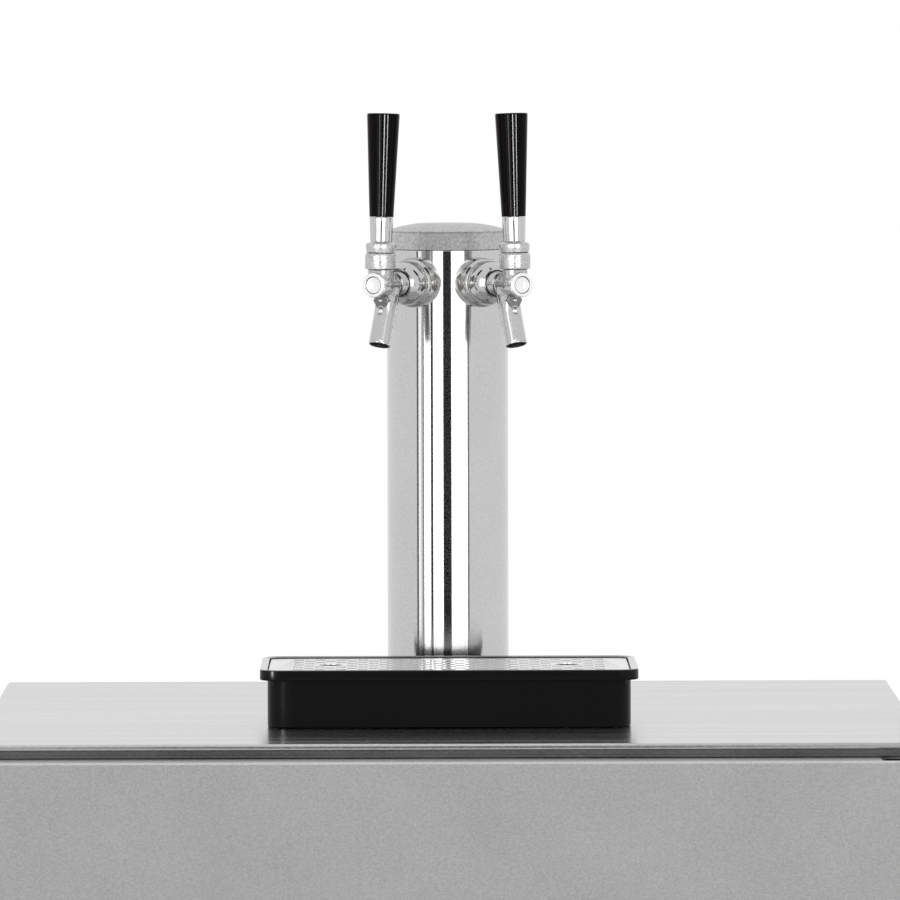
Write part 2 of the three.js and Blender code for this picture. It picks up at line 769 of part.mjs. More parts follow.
function buildMachinery() {
  const seat = PAN_TOP + FIT;
  const shoulder = COMPRESSOR_H - COMPRESSOR_R / 2;
  const can = turned(
    [
      [0, 0],
      [COMPRESSOR_R, 0],
      [COMPRESSOR_R, shoulder],
      ...arc(COMPRESSOR_R / 2, shoulder, COMPRESSOR_R / 2, COMPRESSOR_DOME_DEG, 90),
      [0, COMPRESSOR_H],
    ],
    COMPRESSOR_X, BAY_Y, seat,
  );
  piece(kegerator, "compressor", can, black);

  const y0 = BAY_FRONT + CONDENSER_INSET;
  const y1 = BACK - KICK_T - CONDENSER_INSET;
  const x1 = CONDENSER_X + CONDENSER_T;
  const core = block(CONDENSER_X, x1, y0, y1, seat, seat + CONDENSER_H);
  const groovePitch = (y1 - y0) / (FIN_GROOVES + 1);
  const grooves = Array.from({ length: FIN_GROOVES }, (_, i) => {
    const y = y0 + (i + 1) * groovePitch;
    return block(
      x1 - FIN_GROOVE_DEPTH, x1 + OVERRUN, y - FIN_GROOVE_W / 2, y + FIN_GROOVE_W / 2,
      seat + FIN_GROOVE_W, seat + CONDENSER_H - FIN_GROOVE_W,
    );
  });
  const fanY = (y0 + y1) / 2;
  const fanZ = seat + CONDENSER_H / 2;
  const shroudX = CONDENSER_X - SHROUD_L;
  const ring = turnedAcross(
    tube(SHROUD_R - SHROUD_T, SHROUD_R, 0, SHROUD_L + SHROUD_T), shroudX, fanY, fanZ, SIDES,
  );
  const bar = block(
    shroudX - MOTOR_BAR + SHROUD_T, shroudX + SHROUD_T, fanY - MOTOR_BAR / 2,
    fanY + MOTOR_BAR / 2, fanZ - SHROUD_R, fanZ + SHROUD_R,
  );
  const motorEnd = shroudX + SHROUD_T;
  const motor = turnedAcross(rod(MOTOR_R, -MOTOR_L, 0), motorEnd, fanY, fanZ);
  const shaftL = SHROUD_T + FAN_L / 2;
  const shaft = turnedAcross(
    rod(MOTOR_SHAFT_R, -MOTOR_L, shaftL), motorEnd, fanY, fanZ, SIDES_SMALL,
  );
  piece(
    kegerator, "condenser", joined(cut(core, ...grooves), ring, bar, motor, shaft), zinc,
  );

  const hub = cut(
    turnedAcross(rod(FAN_HUB_R, 0, FAN_L), 0, 0, 0),
    turnedAcross(rod(MOTOR_SHAFT_R + PLAY, -OVERRUN, FAN_L / 2 + PLAY), 0, 0, 0, SIDES_SMALL),
  );
  const clearR = (SHROUD_R - SHROUD_T) * Math.cos(Math.PI / SIDES) - FAN_BLADE_T;
  const reach = Math.sqrt(clearR ** 2 - (FAN_BLADE_W / 2) ** 2);
  const blades = Array.from({ length: FAN_BLADES }, (_, i) =>
    solid(
      new THREE.BoxGeometry(FAN_BLADE_T, FAN_BLADE_W, reach - FAN_HUB_R / 2)
        .translate(0, 0, (reach + FAN_HUB_R / 2) / 2)
        .rotateZ(turn(FAN_PITCH_DEG))
        .translate(FAN_L / 2, 0, 0)
        .rotateX((i * 2 * Math.PI) / FAN_BLADES),
    ),
  );
  const fan = piece(kegerator, "condenser_fan", joined(hub, ...blades), black);
  fan.position.set(motorEnd + SHROUD_T, fanY, fanZ);
}

function buildEvaporator() {
  const half = EVAPORATOR_W / 2;
  const x0 = EVAPORATOR_X - half;
  const x1 = EVAPORATOR_X + half;
  const z1 = ROOM_TOP - EVAPORATOR_DROP;
  const z0 = z1 - EVAPORATOR_H;
  const front = ROOM_BACK - EVAPORATOR_D;
  const shell = cut(
    block(x0, x1, front, ROOM_BACK - FIT, z0, z1),
    block(
      x0 + EVAPORATOR_T, x1 - EVAPORATOR_T, front + EVAPORATOR_T, ROOM_BACK + OVERRUN,
      z0 + EVAPORATOR_T, z1 - EVAPORATOR_T,
    ),
  );
  const vents = slots(
    1, EVAPORATOR_SLOTS, 0, EVAPORATOR_SLOT_PITCH, EVAPORATOR_SLOT_W, EVAPORATOR_SLOT_H,
    EVAPORATOR_X, front, (z0 + z1) / 2,
  );
  const knobX = x1 - KNOB_INSET_X;
  const knobZ = (z0 + z1) / 2;
  const stub = turnedOut(
    rod(KNOB_STUB_R, -front - EVAPORATOR_T, -front + KNOB_STUB_L), knobX, 0, knobZ, SIDES_SMALL,
  );
  piece(kegerator, "evaporator_cover", joined(cut(shell, ...vents), stub), white);

  const knobFront = -front + FIT + KNOB_T;
  const knob = cut(
    turnedOut(
      [
        [0, -front + FIT],
        [KNOB_R, -front + FIT],
        [KNOB_R - KNOB_DRAFT, knobFront],
        [0, knobFront],
      ],
      knobX, 0, knobZ,
    ),
    turnedOut(
      rod(KNOB_STUB_R + PLAY, -front - OVERRUN, -front + KNOB_STUB_L + PLAY),
      knobX, 0, knobZ, SIDES_SMALL,
    ),
  );
  piece(kegerator, "thermostat_knob", knob, black);
}

// The corner notches that clear the hinge arms, grown on every side.
function doorNotches(grow) {
  const x0 = PIN_X - NOTCH_HALF_W - grow;
  const x1 = DOOR_HALF_W + OVERRUN;
  const y0 = PIN_Y - NOTCH_REACH - grow;
  const y1 = DOOR_BACK + OVERRUN;
  return joined(
    block(x0, x1, y0, y1, DOOR_TOP - NOTCH_H - grow, DOOR_TOP + OVERRUN),
    block(x0, x1, y0, y1, DOOR_BOTTOM - OVERRUN, DOOR_BOTTOM + NOTCH_H + grow),
  );
}

function buildDoor() {
  const t = DOOR_SHEET_T;
  const outer = uprightSlab(
    -DOOR_HALF_W, DOOR_HALF_W, DOOR_FRONT, DOOR_BACK, DOOR_BOTTOM, DOOR_TOP,
    DOOR_CORNER_R, DOOR_EDGE_R,
  );
  const inner = block(
    -DOOR_HALF_W + t, DOOR_HALF_W - t, DOOR_FRONT + t, DOOR_BACK + OVERRUN,
    DOOR_BOTTOM + t, DOOR_TOP - t,
  );
  const pinR = PIN_R + PLAY;
  const pinHoles = joined(
    turned(rod(pinR, PIN_TOP - PIN_L - PLAY, DOOR_TOP), PIN_X, PIN_Y, 0),
    turned(rod(pinR, DOOR_BOTTOM, PIN_BOTTOM + PIN_L + PLAY), PIN_X, PIN_Y, 0),
  );
  const lockZ = DOOR_TOP - LOCK_DROP;
  const lockHole = turnedOut(
    rod(LOCK_R + PLAY, -DOOR_FRONT - LOCK_DEPTH - PLAY, -DOOR_FRONT + OVERRUN), HANDLE_X, 0, lockZ,
  );
  const lining = inner.subtract(doorNotches(t));
  const skin = cut(outer, doorNotches(0), lining, pinHoles, lockHole);
  piece(kegerator, "door_skin", skin, brushed);

  const margin = DOOR_RECESS_MARGIN;
  const recess = (grow) =>
    block(
      -LINER_HALF_W + margin - grow, LINER_HALF_W - margin + grow,
      DOOR_BACK - DOOR_RECESS - grow, DOOR_BACK + OVERRUN,
      LINER_BOTTOM + margin - grow, LINER_TOP - margin + grow,
    );
  const filler = (y0, y1, grow) =>
    cut(
      block(
        -DOOR_HALF_W + t + FIT, DOOR_HALF_W - t - FIT, y0, y1,
        DOOR_BOTTOM + t + FIT, DOOR_TOP - t - FIT,
      ),
      doorNotches(t + grow),
    );
  const plate = filler(DOOR_BACK - LINER_T, DOOR_BACK, FIT);
  const pocket = recess(LINER_T).intersect(filler(DOOR_FRONT, DOOR_BACK, FIT));
  piece(kegerator, "door_liner", cut(joined(plate, pocket), recess(0)), white);
  const filling = filler(DOOR_FRONT + t + FIT, DOOR_BACK - LINER_T - FIT, FIT);
  piece(
    kegerator, "door_foam", cut(filling, recess(LINER_T + FIT), pinHoles, lockHole), foam,
  );

  const inX = ROOM_HALF_W + GASKET_LAP;
  const inBottom = ROOM_BOTTOM - GASKET_LAP;
  const inTop = ROOM_TOP + GASKET_LAP;
  const y0 = DOOR_BACK + FIT;
  const y1 = FRONT - FIT;
  const w = GASKET_W;
  const seal = cut(
    block(-inX - w, inX + w, y0, y1, inBottom - w, inTop + w),
    block(-inX, inX, y0 - OVERRUN, y1 + OVERRUN, inBottom, inTop),
  );
  piece(kegerator, "door_gasket", seal, rubber);

  const barrel = cut(
    turnedOut(
      rod(LOCK_R, -DOOR_FRONT - LOCK_DEPTH, -DOOR_FRONT + LOCK_PROUD), HANDLE_X, 0, lockZ,
    ),
    block(
      HANDLE_X - KEYWAY_W / 2, HANDLE_X + KEYWAY_W / 2, DOOR_FRONT - LOCK_PROUD - OVERRUN,
      DOOR_FRONT - LOCK_PROUD + KEYWAY_DEPTH, lockZ - KEYWAY_L / 2, lockZ + KEYWAY_L / 2,
    ),
  );
  piece(kegerator, "door_lock", barrel, chrome);
}

function buildDoorHandle() {
  const z1 = HANDLE_TOP_Z;
  const z0 = z1 - HANDLE_L;
  const edge = HANDLE_CHAMFER;
  const bar = turned(
    [
      [0, z0],
      [HANDLE_R - edge, z0],
      [HANDLE_R, z0 + edge],
      [HANDLE_R, z1 - edge],
      [HANDLE_R - edge, z1],
      [0, z1],
    ],
    HANDLE_X, HANDLE_Y, 0,
  );
  const seat = -DOOR_FRONT + FIT;
  const posts = [z0 + POST_INSET, z1 - POST_INSET].map((z) =>
    turnedOut(
      [
        [0, seat],
        [ROSE_R, seat],
        [ROSE_R, seat + ROSE_T],
        [POST_R, seat + ROSE_T],
        [POST_R, -HANDLE_Y],
        [0, -HANDLE_Y],
      ],
      HANDLE_X, 0, z,
    ),
  );
  piece(kegerator, "door_handle", joined(bar, ...posts), brushed);
}

function buildHinges() {
  const sides = { upper: [PIN_TOP, -1], lower: [PIN_BOTTOM, 1] };
  const plateY = FRONT - FIT - BRACKET_T;
  for (const [name, [pinZ, way]] of Object.entries(sides)) {
    const armLow = Math.min(pinZ, pinZ - way * ARM_T);
    const head = turned(rod(ARM_R, armLow, armLow + ARM_T), PIN_X, PIN_Y, 0);
    const arm = block(
      PIN_X - ARM_R, PIN_X + ARM_R, PIN_Y, plateY + BRACKET_T, armLow, armLow + ARM_T,
    );
    const middle = armLow + ARM_T / 2;
    const plate = block(
      PIN_X - NOTCH_HALF_W + FIT, HALF_W - FIT, plateY, plateY + BRACKET_T,
      middle - BRACKET_H / 2, middle + BRACKET_H / 2,
    );
    const far = pinZ + way * PIN_L;
    const pin = turned(
      rod(PIN_R, Math.min(far, middle), Math.max(far, middle)), PIN_X, PIN_Y, 0,
    );
    piece(kegerator, `${name}_hinge`, joined(head, arm, plate, pin), zinc);
  }
}

function buildGas() {
  const neckZ = SHELF_Z + FIT;
  const shoulder = CYLINDER_BODY_H;
  const neckBase = shoulder + CYLINDER_SHOULDER_H;
  const bottle = turned(
    [
      [0, 0],
      [CYLINDER_R - CYLINDER_FOOT_EDGE, 0],
      [CYLINDER_R, CYLINDER_FOOT_EDGE],
      [CYLINDER_R, shoulder],
      [
        CYLINDER_R * CYLINDER_SHOULDER_R_SHARE,
        shoulder + CYLINDER_SHOULDER_H * CYLINDER_SHOULDER_H_SHARE,
      ],
      [CYLINDER_NECK_R, neckBase],
      [CYLINDER_NECK_R, CYLINDER_H],
      [WHEEL_STUB_R, CYLINDER_H],
      [WHEEL_STUB_R, CYLINDER_H + WHEEL_T / 2],
      [0, CYLINDER_H + WHEEL_T / 2],
    ],
    CYLINDER_X, SHELF_Y, neckZ,
  );
  const outlet = turnedAcross(rod(OUTLET_R, 0, OUTLET_L), CYLINDER_X, SHELF_Y, OUTLET_Z);
  piece(kegerator, "gas_cylinder", joined(bottle, outlet), clear);

  const wheelZ = neckZ + CYLINDER_H + FIT;
  const wheel = cut(
    turned(rod(WHEEL_R, wheelZ, wheelZ + WHEEL_T), CYLINDER_X, SHELF_Y, 0, SIDES_SMALL),
    turned(
      rod(WHEEL_STUB_R + PLAY, wheelZ - OVERRUN, wheelZ + WHEEL_T / 2 + PLAY),
      CYLINDER_X, SHELF_Y, 0, SIDES_SMALL,
    ),
  );
  piece(kegerator, "cylinder_handwheel", wheel, black);

  const nutX = CYLINDER_X + OUTLET_L + FIT;
  const nut = turnedAcross(rod(REG_NUT_R, 0, REG_NUT_L), nutX, SHELF_Y, OUTLET_Z, SIDES_HEX);
  const bodyX = nutX + REG_NUT_L;
  const body = turnedAcross(rod(REG_R, 0, REG_R), bodyX - FIT, SHELF_Y, OUTLET_Z);
  const gauge = (x, z) =>
    turnedOut(rod(GAUGE_R, -GAUGE_T / 2, GAUGE_T / 2), x, SHELF_Y, z);
  const neck = turned(rod(BARB_R, 0, GAUGE_REACH), REG_X, SHELF_Y, OUTLET_Z, SIDES_SMALL);
  const arm = turnedAcross(rod(BARB_R, 0, GAUGE_REACH), REG_X, SHELF_Y, OUTLET_Z, SIDES_SMALL);
  const barbs = [-1, 1].map((side) =>
    turned(
      rod(BARB_R, OUTLET_Z - REG_R - BARB_L, OUTLET_Z),
      REG_X + (side * BARB_SPREAD) / 2, SHELF_Y, 0, SIDES_SMALL,
    ),
  );
  const regulator = joined(
    nut, body, neck, arm, ...barbs,
    gauge(REG_X, OUTLET_Z + GAUGE_REACH), gauge(REG_X + GAUGE_REACH, OUTLET_Z),
  );
  piece(kegerator, "gas_regulator", regulator, chrome);
}

function buildCoupler(side) {
  const x = COUPLER_X[side];
  const body = turned(
    [
      [0, 0],
      [COUPLER_BASE_R, 0],
      [COUPLER_BASE_R, COUPLER_BASE_H],
      [COUPLER_R, COUPLER_BASE_H],
      [COUPLER_R, COUPLER_BODY_H],
      [COUPLER_TOP_R, COUPLER_BODY_H + COUPLER_R - COUPLER_TOP_R],
      [COUPLER_TOP_R, COUPLER_H],
      [0, COUPLER_H],
    ],
    x, SHELF_Y, COUPLER_Z,
  );
  const inlet = turnedAcross(
    rod(COUPLER_GAS_R, -COUPLER_GAS_L, 0), x, SHELF_Y, COUPLER_Z + COUPLER_GAS_Z, SIDES_SMALL,
  );
  const pins = turnedAcross(
    rod(COUPLER_PIN_R, -COUPLER_PIN_REACH, COUPLER_PIN_REACH),
    x, SHELF_Y, COUPLER_Z + COUPLER_PIN_Z, SIDES_SMALL,
  );
  piece(kegerator, `${side}_keg_coupler`, joined(body, inlet, pins), chrome);

  const fork = new THREE.Group();
  fork.position.set(x, SHELF_Y, COUPLER_Z + COUPLER_PIN_Z);
  fork.rotation.x = -turn(COUPLER_LIFT_DEG);
  kegerator.add(fork);
  const out = COUPLER_ARM_IN + COUPLER_ARM_T;
  const half = COUPLER_ARM_H / 2;
  const bridge = -COUPLER_ARM_L - COUPLER_ARM_T;
  const arms = cut(
    block(-out, out, bridge, half, -half, half),
    block(
      -COUPLER_ARM_IN, COUPLER_ARM_IN, -COUPLER_ARM_L, half + OVERRUN,
      -half - OVERRUN, half + OVERRUN,
    ),
    turnedAcross(
      rod(COUPLER_PIN_R + PLAY, -out - OVERRUN, out + OVERRUN), 0, 0, 0, SIDES_SMALL,
    ),
  );
  const grip = slab(
    -COUPLER_GRIP_W / 2, COUPLER_GRIP_W / 2, bridge - COUPLER_GRIP_L, bridge + COUPLER_ARM_T / 2,
    -half, half, COUPLER_GRIP_CORNER_R, 0,
  );
  piece(fork, `${side}_coupler_lever`, joined(arms, grip), black);
}

// Each hose drops from the regulator to its coupler; the right one passes behind the left coupler.
function buildGasHoses() {
  const barbZ = OUTLET_Z - REG_R - BARB_L - FIT;
  const inletZ = COUPLER_Z + COUPLER_GAS_Z;
  const start = (side) => [REG_X + (side * BARB_SPREAD) / 2, SHELF_Y, barbZ];
  const [sx] = start(-1);
  const leftEnd = COUPLER_X.left - COUPLER_GAS_L - FIT;
  const left = [
    start(-1),
    ...LEFT_HOSE_FALL.map(([x, y, z]) => [sx + x, SHELF_Y + y, barbZ + z]),
    ...LEFT_HOSE_SWEEP.map(([x, y, z]) => [sx + x, SHELF_Y + y, inletZ + z]),
    [leftEnd - HOSE_END_L, SHELF_Y, inletZ],
    [leftEnd, SHELF_Y, inletZ],
  ];
  piece(kegerator, "left_gas_hose", hose(left, GAS_HOSE_R, GAS_HOSE_STEPS), gasRed);
  const [tx] = start(1);
  const rightEnd = COUPLER_X.right - COUPLER_GAS_L - FIT;
  const right = [
    start(1),
    ...RIGHT_HOSE_FALL.map(([x, y, z]) => [tx + x, SHELF_Y + y, barbZ + z]),
    ...RIGHT_HOSE_SWEEP.map(([x, y, z]) => [tx + x, SHELF_Y + y, inletZ + z]),
    ...RIGHT_HOSE_END.map(([x, y, z]) => [rightEnd + x, SHELF_Y + y, inletZ + z]),
    [rightEnd, SHELF_Y, inletZ],
  ];
  piece(kegerator, "right_gas_hose", hose(right, GAS_HOSE_R, GAS_HOSE_STEPS), gasRed);
}

// From a coupler's top up past the evaporator cover, through the ceiling and up the column.
function buildBeerLine(side, way) {
  const x0 = COUPLER_X[side];
  const z0 = COUPLER_Z + COUPLER_H + FIT;
  const x1 = way * ELBOW_OUT * Math.sin(turn(FAUCET_SPREAD_DEG));
  const y1 = TOWER_Y - ELBOW_OUT * Math.cos(turn(FAUCET_SPREAD_DEG));
  const z1 = SHANK_Z - ELBOW_L - FIT;
  const points = [
    [x0, SHELF_Y, z0],
    ...BEER_LINE_RISE.map(([share, y, z]) => [x0 * share, SHELF_Y + y, z0 + z]),
    [
      x0 * BEER_LINE_MIX + x1 * (1 - BEER_LINE_MIX), SHELF_Y - BEER_LINE_FORWARD,
      ROOM_TOP - BEER_LINE_LOW,
    ],
    ...BEER_LINE_CLIMB.map(([y, z]) => [x1, y1 + y, ROOM_TOP + z]),
    ...BEER_LINE_UP.map((z) => [x1, y1, WORKTOP_H + z]),
    [x1, y1, z1 - HOSE_END_L],
    [x1, y1, z1],
  ];
  piece(kegerator, `${side}_beer_line`, hose(points, BEER_LINE_R, BEER_LINE_STEPS), clear);
}

function buildTray() {
  const halfW = TRAY_RIM_W / 2;
  const y0 = TRAY_FRONT_Y;
  const y1 = y0 + TRAY_RIM_D;
  const rimZ = TRAY_H - TRAY_RIM_H;
  const inset = (d, z0, z1, edge = 0) =>
    slab(
      -halfW + d, halfW - d, y0 + d, y1 - d, WORKTOP_H + z0, WORKTOP_H + z1,
      TRAY_RIM_CORNER_R - d, edge,
    );
  const rim = inset(0, rimZ, TRAY_H, TRAY_EDGE_R);
  const body = inset(TRAY_RIM_LAP, TRAY_FOOT_H, rimZ + TRAY_EDGE_R * 2);
  const basin = inset(TRAY_RIM_LAP + TRAY_WALL, TRAY_FOOT_H + TRAY_WALL, TRAY_H + OVERRUN);
  const grateTop = TRAY_H - GRATE_DROP;
  const seat = inset(GRATE_INSET - PLAY, grateTop - GRATE_T - FIT, TRAY_H + OVERRUN);
  const footX = halfW - TRAY_RIM_CORNER_R;
  const feet = [-1, 1].flatMap((sx) =>
    [y0 + TRAY_RIM_CORNER_R, y1 - TRAY_RIM_CORNER_R].map((y) =>
      block(
        sx * footX - TRAY_FOOT_W / 2, sx * footX + TRAY_FOOT_W / 2,
        y - TRAY_FOOT_W / 2 + TRAY_RIM_LAP / 2, y + TRAY_FOOT_W / 2 - TRAY_RIM_LAP / 2,
        WORKTOP_H + FIT, WORKTOP_H + TRAY_FOOT_H + TRAY_WALL / 2,
      ),
    ),
  );
  piece(kegerator, "drip_tray", cut(joined(rim, body, ...feet), basin, seat), black);

  buildGrate(halfW - GRATE_INSET, y0 + GRATE_INSET, y1 - GRATE_INSET, WORKTOP_H + grateTop);
}

// One slot with pointed ends, as a way through the grate.
function slotOutline(x, y) {
  const shoulder = (SLOT_L - SLOT_W / 2) / 2;
  return new THREE.Path([
    new THREE.Vector2(x - SLOT_W / 2, y - shoulder),
    new THREE.Vector2(x, y - SLOT_L / 2),
    new THREE.Vector2(x + SLOT_W / 2, y - shoulder),
    new THREE.Vector2(x + SLOT_W / 2, y + shoulder),
    new THREE.Vector2(x, y + SLOT_L / 2),
    new THREE.Vector2(x - SLOT_W / 2, y + shoulder),
  ]);
}

function buildGrate(halfW, y0, y1, topZ) {
  const corner = TRAY_RIM_CORNER_R - GRATE_INSET;
  const outline = roundedRectangle(-halfW, halfW, y0, y1, corner);
  const midY = (y0 + y1) / 2;
  const reach = (y1 - y0) / 2 - SLOT_MARGIN_Y - SLOT_L / 2;
  const fingers = [-FINGER_HOLE_X, FINGER_HOLE_X];
  const keepX = FINGER_HOLE_R + FINGER_MARGIN_X;
  const keepY = FINGER_HOLE_R + FINGER_MARGIN_Y;
  for (let i = 0; i < SLOT_COLUMNS; i += 1) {
    const x = middleOf(SLOT_COLUMNS, i) * SLOT_PITCH_X;
    const shift = i % 2 === 0 ? 0 : SLOT_PITCH_Y / 2;
    const rows = Math.floor((reach + shift) / SLOT_PITCH_Y);
    for (let j = -rows - 1; j <= rows + 1; j += 1) {
      const dy = j * SLOT_PITCH_Y + shift;
      const nearFinger = fingers.some(
        (f) => Math.abs(x - f) < keepX && Math.abs(dy) < keepY,
      );
      if (Math.abs(dy) <= reach && !nearFinger) outline.holes.push(slotOutline(x, midY + dy));
    }
  }
  for (const x of fingers) {
    outline.holes.push(new THREE.Path().absarc(x, midY, FINGER_HOLE_R, 0, 2 * Math.PI));
  }
  const plate = new THREE.ExtrudeGeometry(outline, {
    depth: GRATE_T,
    bevelEnabled: false,
    curveSegments: CORNER_STEPS * 2,
  }).translate(0, 0, topZ - GRATE_T);
  piece(kegerator, "drip_grate", solid(plate), polished);
}

function buildTower() {
  const gasketTop = WORKTOP_H + FIT + TOWER_GASKET_T;
  const flangeTop = gasketTop + FIT + TOWER_FLANGE_T;
  const capZ = WORKTOP_H + COLUMN_H;
  const bore = LINE_HOLE_R;
  piece(
    kegerator, "tower_gasket",
    turned(
      tube(bore, TOWER_FLANGE_R, WORKTOP_H + FIT, gasketTop), 0, TOWER_Y, 0, SIDES_MEDIUM,
    ),
    rubber,
  );
  const plate = turned(
    tube(bore, TOWER_FLANGE_R, gasketTop + FIT, flangeTop), 0, TOWER_Y, 0, SIDES_MEDIUM,
  );
  const screws = Array.from({ length: TOWER_SCREWS }, (_, i) => {
    const angle = ((i + 1 / 2) * 2 * Math.PI) / TOWER_SCREWS;
    return turned(
      rod(TOWER_SCREW_R, flangeTop - TOWER_FLANGE_T / 2, flangeTop + TOWER_SCREW_H),
      TOWER_SCREW_PITCH_R * Math.cos(angle), TOWER_Y + TOWER_SCREW_PITCH_R * Math.sin(angle),
      0, SIDES_HEX,
    );
  });
  piece(kegerator, "tower_flange", joined(plate, ...screws), brushed);

  const pipe = turned(
    tube(COLUMN_R - COLUMN_T, COLUMN_R, flangeTop + FIT, capZ - FIT), 0, TOWER_Y, 0, SIDES_LARGE,
  );
  const holes = [-1, 1].map((way) =>
    solid(
      lathe(rod(SHANK_R + FIT, 0, COLUMN_R + OVERRUN), SIDES)
        .rotateX(Math.PI)
        .rotateZ(way * turn(FAUCET_SPREAD_DEG))
        .translate(0, TOWER_Y, SHANK_Z),
    ),
  );
  piece(kegerator, "tower_column", cut(pipe, ...holes), polished);

  const bandTop = capZ + CAP_BAND_H;
  const skirtR = COLUMN_R - COLUMN_T - FIT;
  const cap = turned(
    [
      [skirtR, capZ - CAP_SKIRT_H],
      [skirtR, capZ],
      [CAP_R, capZ],
      [CAP_R, bandTop - FIT],
      [CAP_R - FIT, bandTop],
      [(CAP_R + CAP_PLATEAU_R) / 2, bandTop + CAP_RISE * CAP_SLOPE_RISE_SHARE],
      [CAP_PLATEAU_R + CAP_PLATEAU_EDGE, bandTop + CAP_RISE * CAP_EDGE_RISE_SHARE],
      [CAP_PLATEAU_R, bandTop + CAP_RISE],
      [0, bandTop + CAP_RISE],
      [0, bandTop + CAP_RISE - CAP_T],
      [CAP_PLATEAU_R, bandTop + CAP_RISE - CAP_T],
      [skirtR - CAP_T, bandTop - CAP_T],
      [skirtR - CAP_T, capZ - CAP_SKIRT_H],
    ],
    0, TOWER_Y, 0, SIDES_LARGE,
  );
  piece(kegerator, "tower_cap", cap, brushed);
}

// Everything on one faucet is built pointing to -Y from the column's axis, then swung sideways.
function faucetGroup(way) {
  const group = new THREE.Group();
  group.position.set(0, TOWER_Y, SHANK_Z);
  group.rotation.z = way * turn(FAUCET_SPREAD_DEG);
  kegerator.add(group);
  return group;
}

function buildShank(group, side) {
  const threaded = turnedOut(
    [
      [0, SHANK_IN],
      [SHANK_R, SHANK_IN],
      [SHANK_R, COLLAR_OUT - OVERRUN],
      [THREAD_R, COLLAR_OUT - OVERRUN],
      [THREAD_R, THREAD_OUT],
      [0, THREAD_OUT],
    ],
    0, 0, 0,
  );
  const tail = turnedOut(rod(ELBOW_R, ELBOW_OUT, SHANK_IN + OVERRUN), 0, 0, 0, SIDES_SMALL);
  const elbow = turned(rod(ELBOW_R, -ELBOW_L, ELBOW_R), 0, -ELBOW_OUT, 0, SIDES_SMALL);
  const nut = turnedOut(
    rod(LOCK_NUT_R, LOCK_NUT_IN, LOCK_NUT_IN + LOCK_NUT_T), 0, 0, 0, SIDES_HEX,
  );
  const collarBack = COLUMN_R - OVERRUN * 2;
  const collar = cut(
    turnedOut(
      [
        [0, collarBack],
        [COLLAR_R, collarBack],
        ...COLLAR_SHARES.map(([r, h]) => [COLLAR_R * r, COLUMN_R + (COLLAR_OUT - COLUMN_R) * h]),
        [NUT_R, COLLAR_OUT],
        [0, COLLAR_OUT],
      ],
      0, 0, 0, SIDES_MEDIUM,
    ),
    turned(rod(COLUMN_R + FIT, -COLLAR_R - OVERRUN, COLLAR_R + OVERRUN), 0, 0, 0, SIDES_LARGE),
  );
  const bore = joined(
    turnedOut(rod(SHANK_BORE_R, ELBOW_OUT, THREAD_OUT + OVERRUN), 0, 0, 0, SIDES_SMALL),
    turned(rod(SHANK_BORE_R, -ELBOW_L - OVERRUN, 0), 0, -ELBOW_OUT, 0, SIDES_SMALL),
    turnedOut(rod(SEAT_R, COLLAR_OUT, THREAD_OUT + OVERRUN), 0, 0, 0, SIDES_SMALL),
  );
  piece(group, `${side}_shank`, cut(joined(threaded, tail, elbow, nut, collar), bore), chrome);
}

function buildCouplingNut(group, side) {
  const back = COLLAR_OUT + FIT;
  const length = NUT_OUT - back;
  const lipR = BARREL_NECK_R + PLAY;
  const inner = THREAD_R + PLAY;
  const ring = turnedOut(
    [
      ...NUT_DOME_SHARES.map(([r, h]) => [NUT_R * r, back + length * h]),
      [lipR, NUT_OUT],
      [lipR, NUT_OUT - NUT_LIP_T],
      [inner, NUT_OUT - NUT_LIP_T],
      [inner, back],
    ],
    0, 0, 0, SIDES_MEDIUM,
  );
  const holes = Array.from({ length: NUT_HOLES }, (_, i) =>
    solid(
      lathe(rod(NUT_HOLE_R, NUT_R - NUT_HOLE_DEPTH, NUT_R + OVERRUN), SIDES_SMALL)
        .rotateZ(-Math.PI / 2)
        .rotateY(((i + NUT_HOLE_TURN_SHARE) * 2 * Math.PI) / NUT_HOLES)
        .translate(0, -back - length * NUT_HOLE_OUT_SHARE, 0),
    ),
  );
  piece(group, `${side}_coupling_nut`, cut(ring, ...holes), chrome);
}

function spoutCone(lowR, highR, drop, rise) {
  const out = SPOUT_TIP_OUT - SPOUT_TOP_OUT;
  const lean = Math.atan2(out, SPOUT_DROP);
  const length = Math.hypot(out, SPOUT_DROP);
  return solid(
    lathe(
      [
        [0, -length - drop],
        [lowR, -length - drop],
        [highR, rise],
        [0, rise],
      ],
      SIDES,
    )
      .rotateX(Math.PI / 2)
      .rotateX(-lean)
      .translate(0, -SPOUT_TOP_OUT, 0),
  );
}

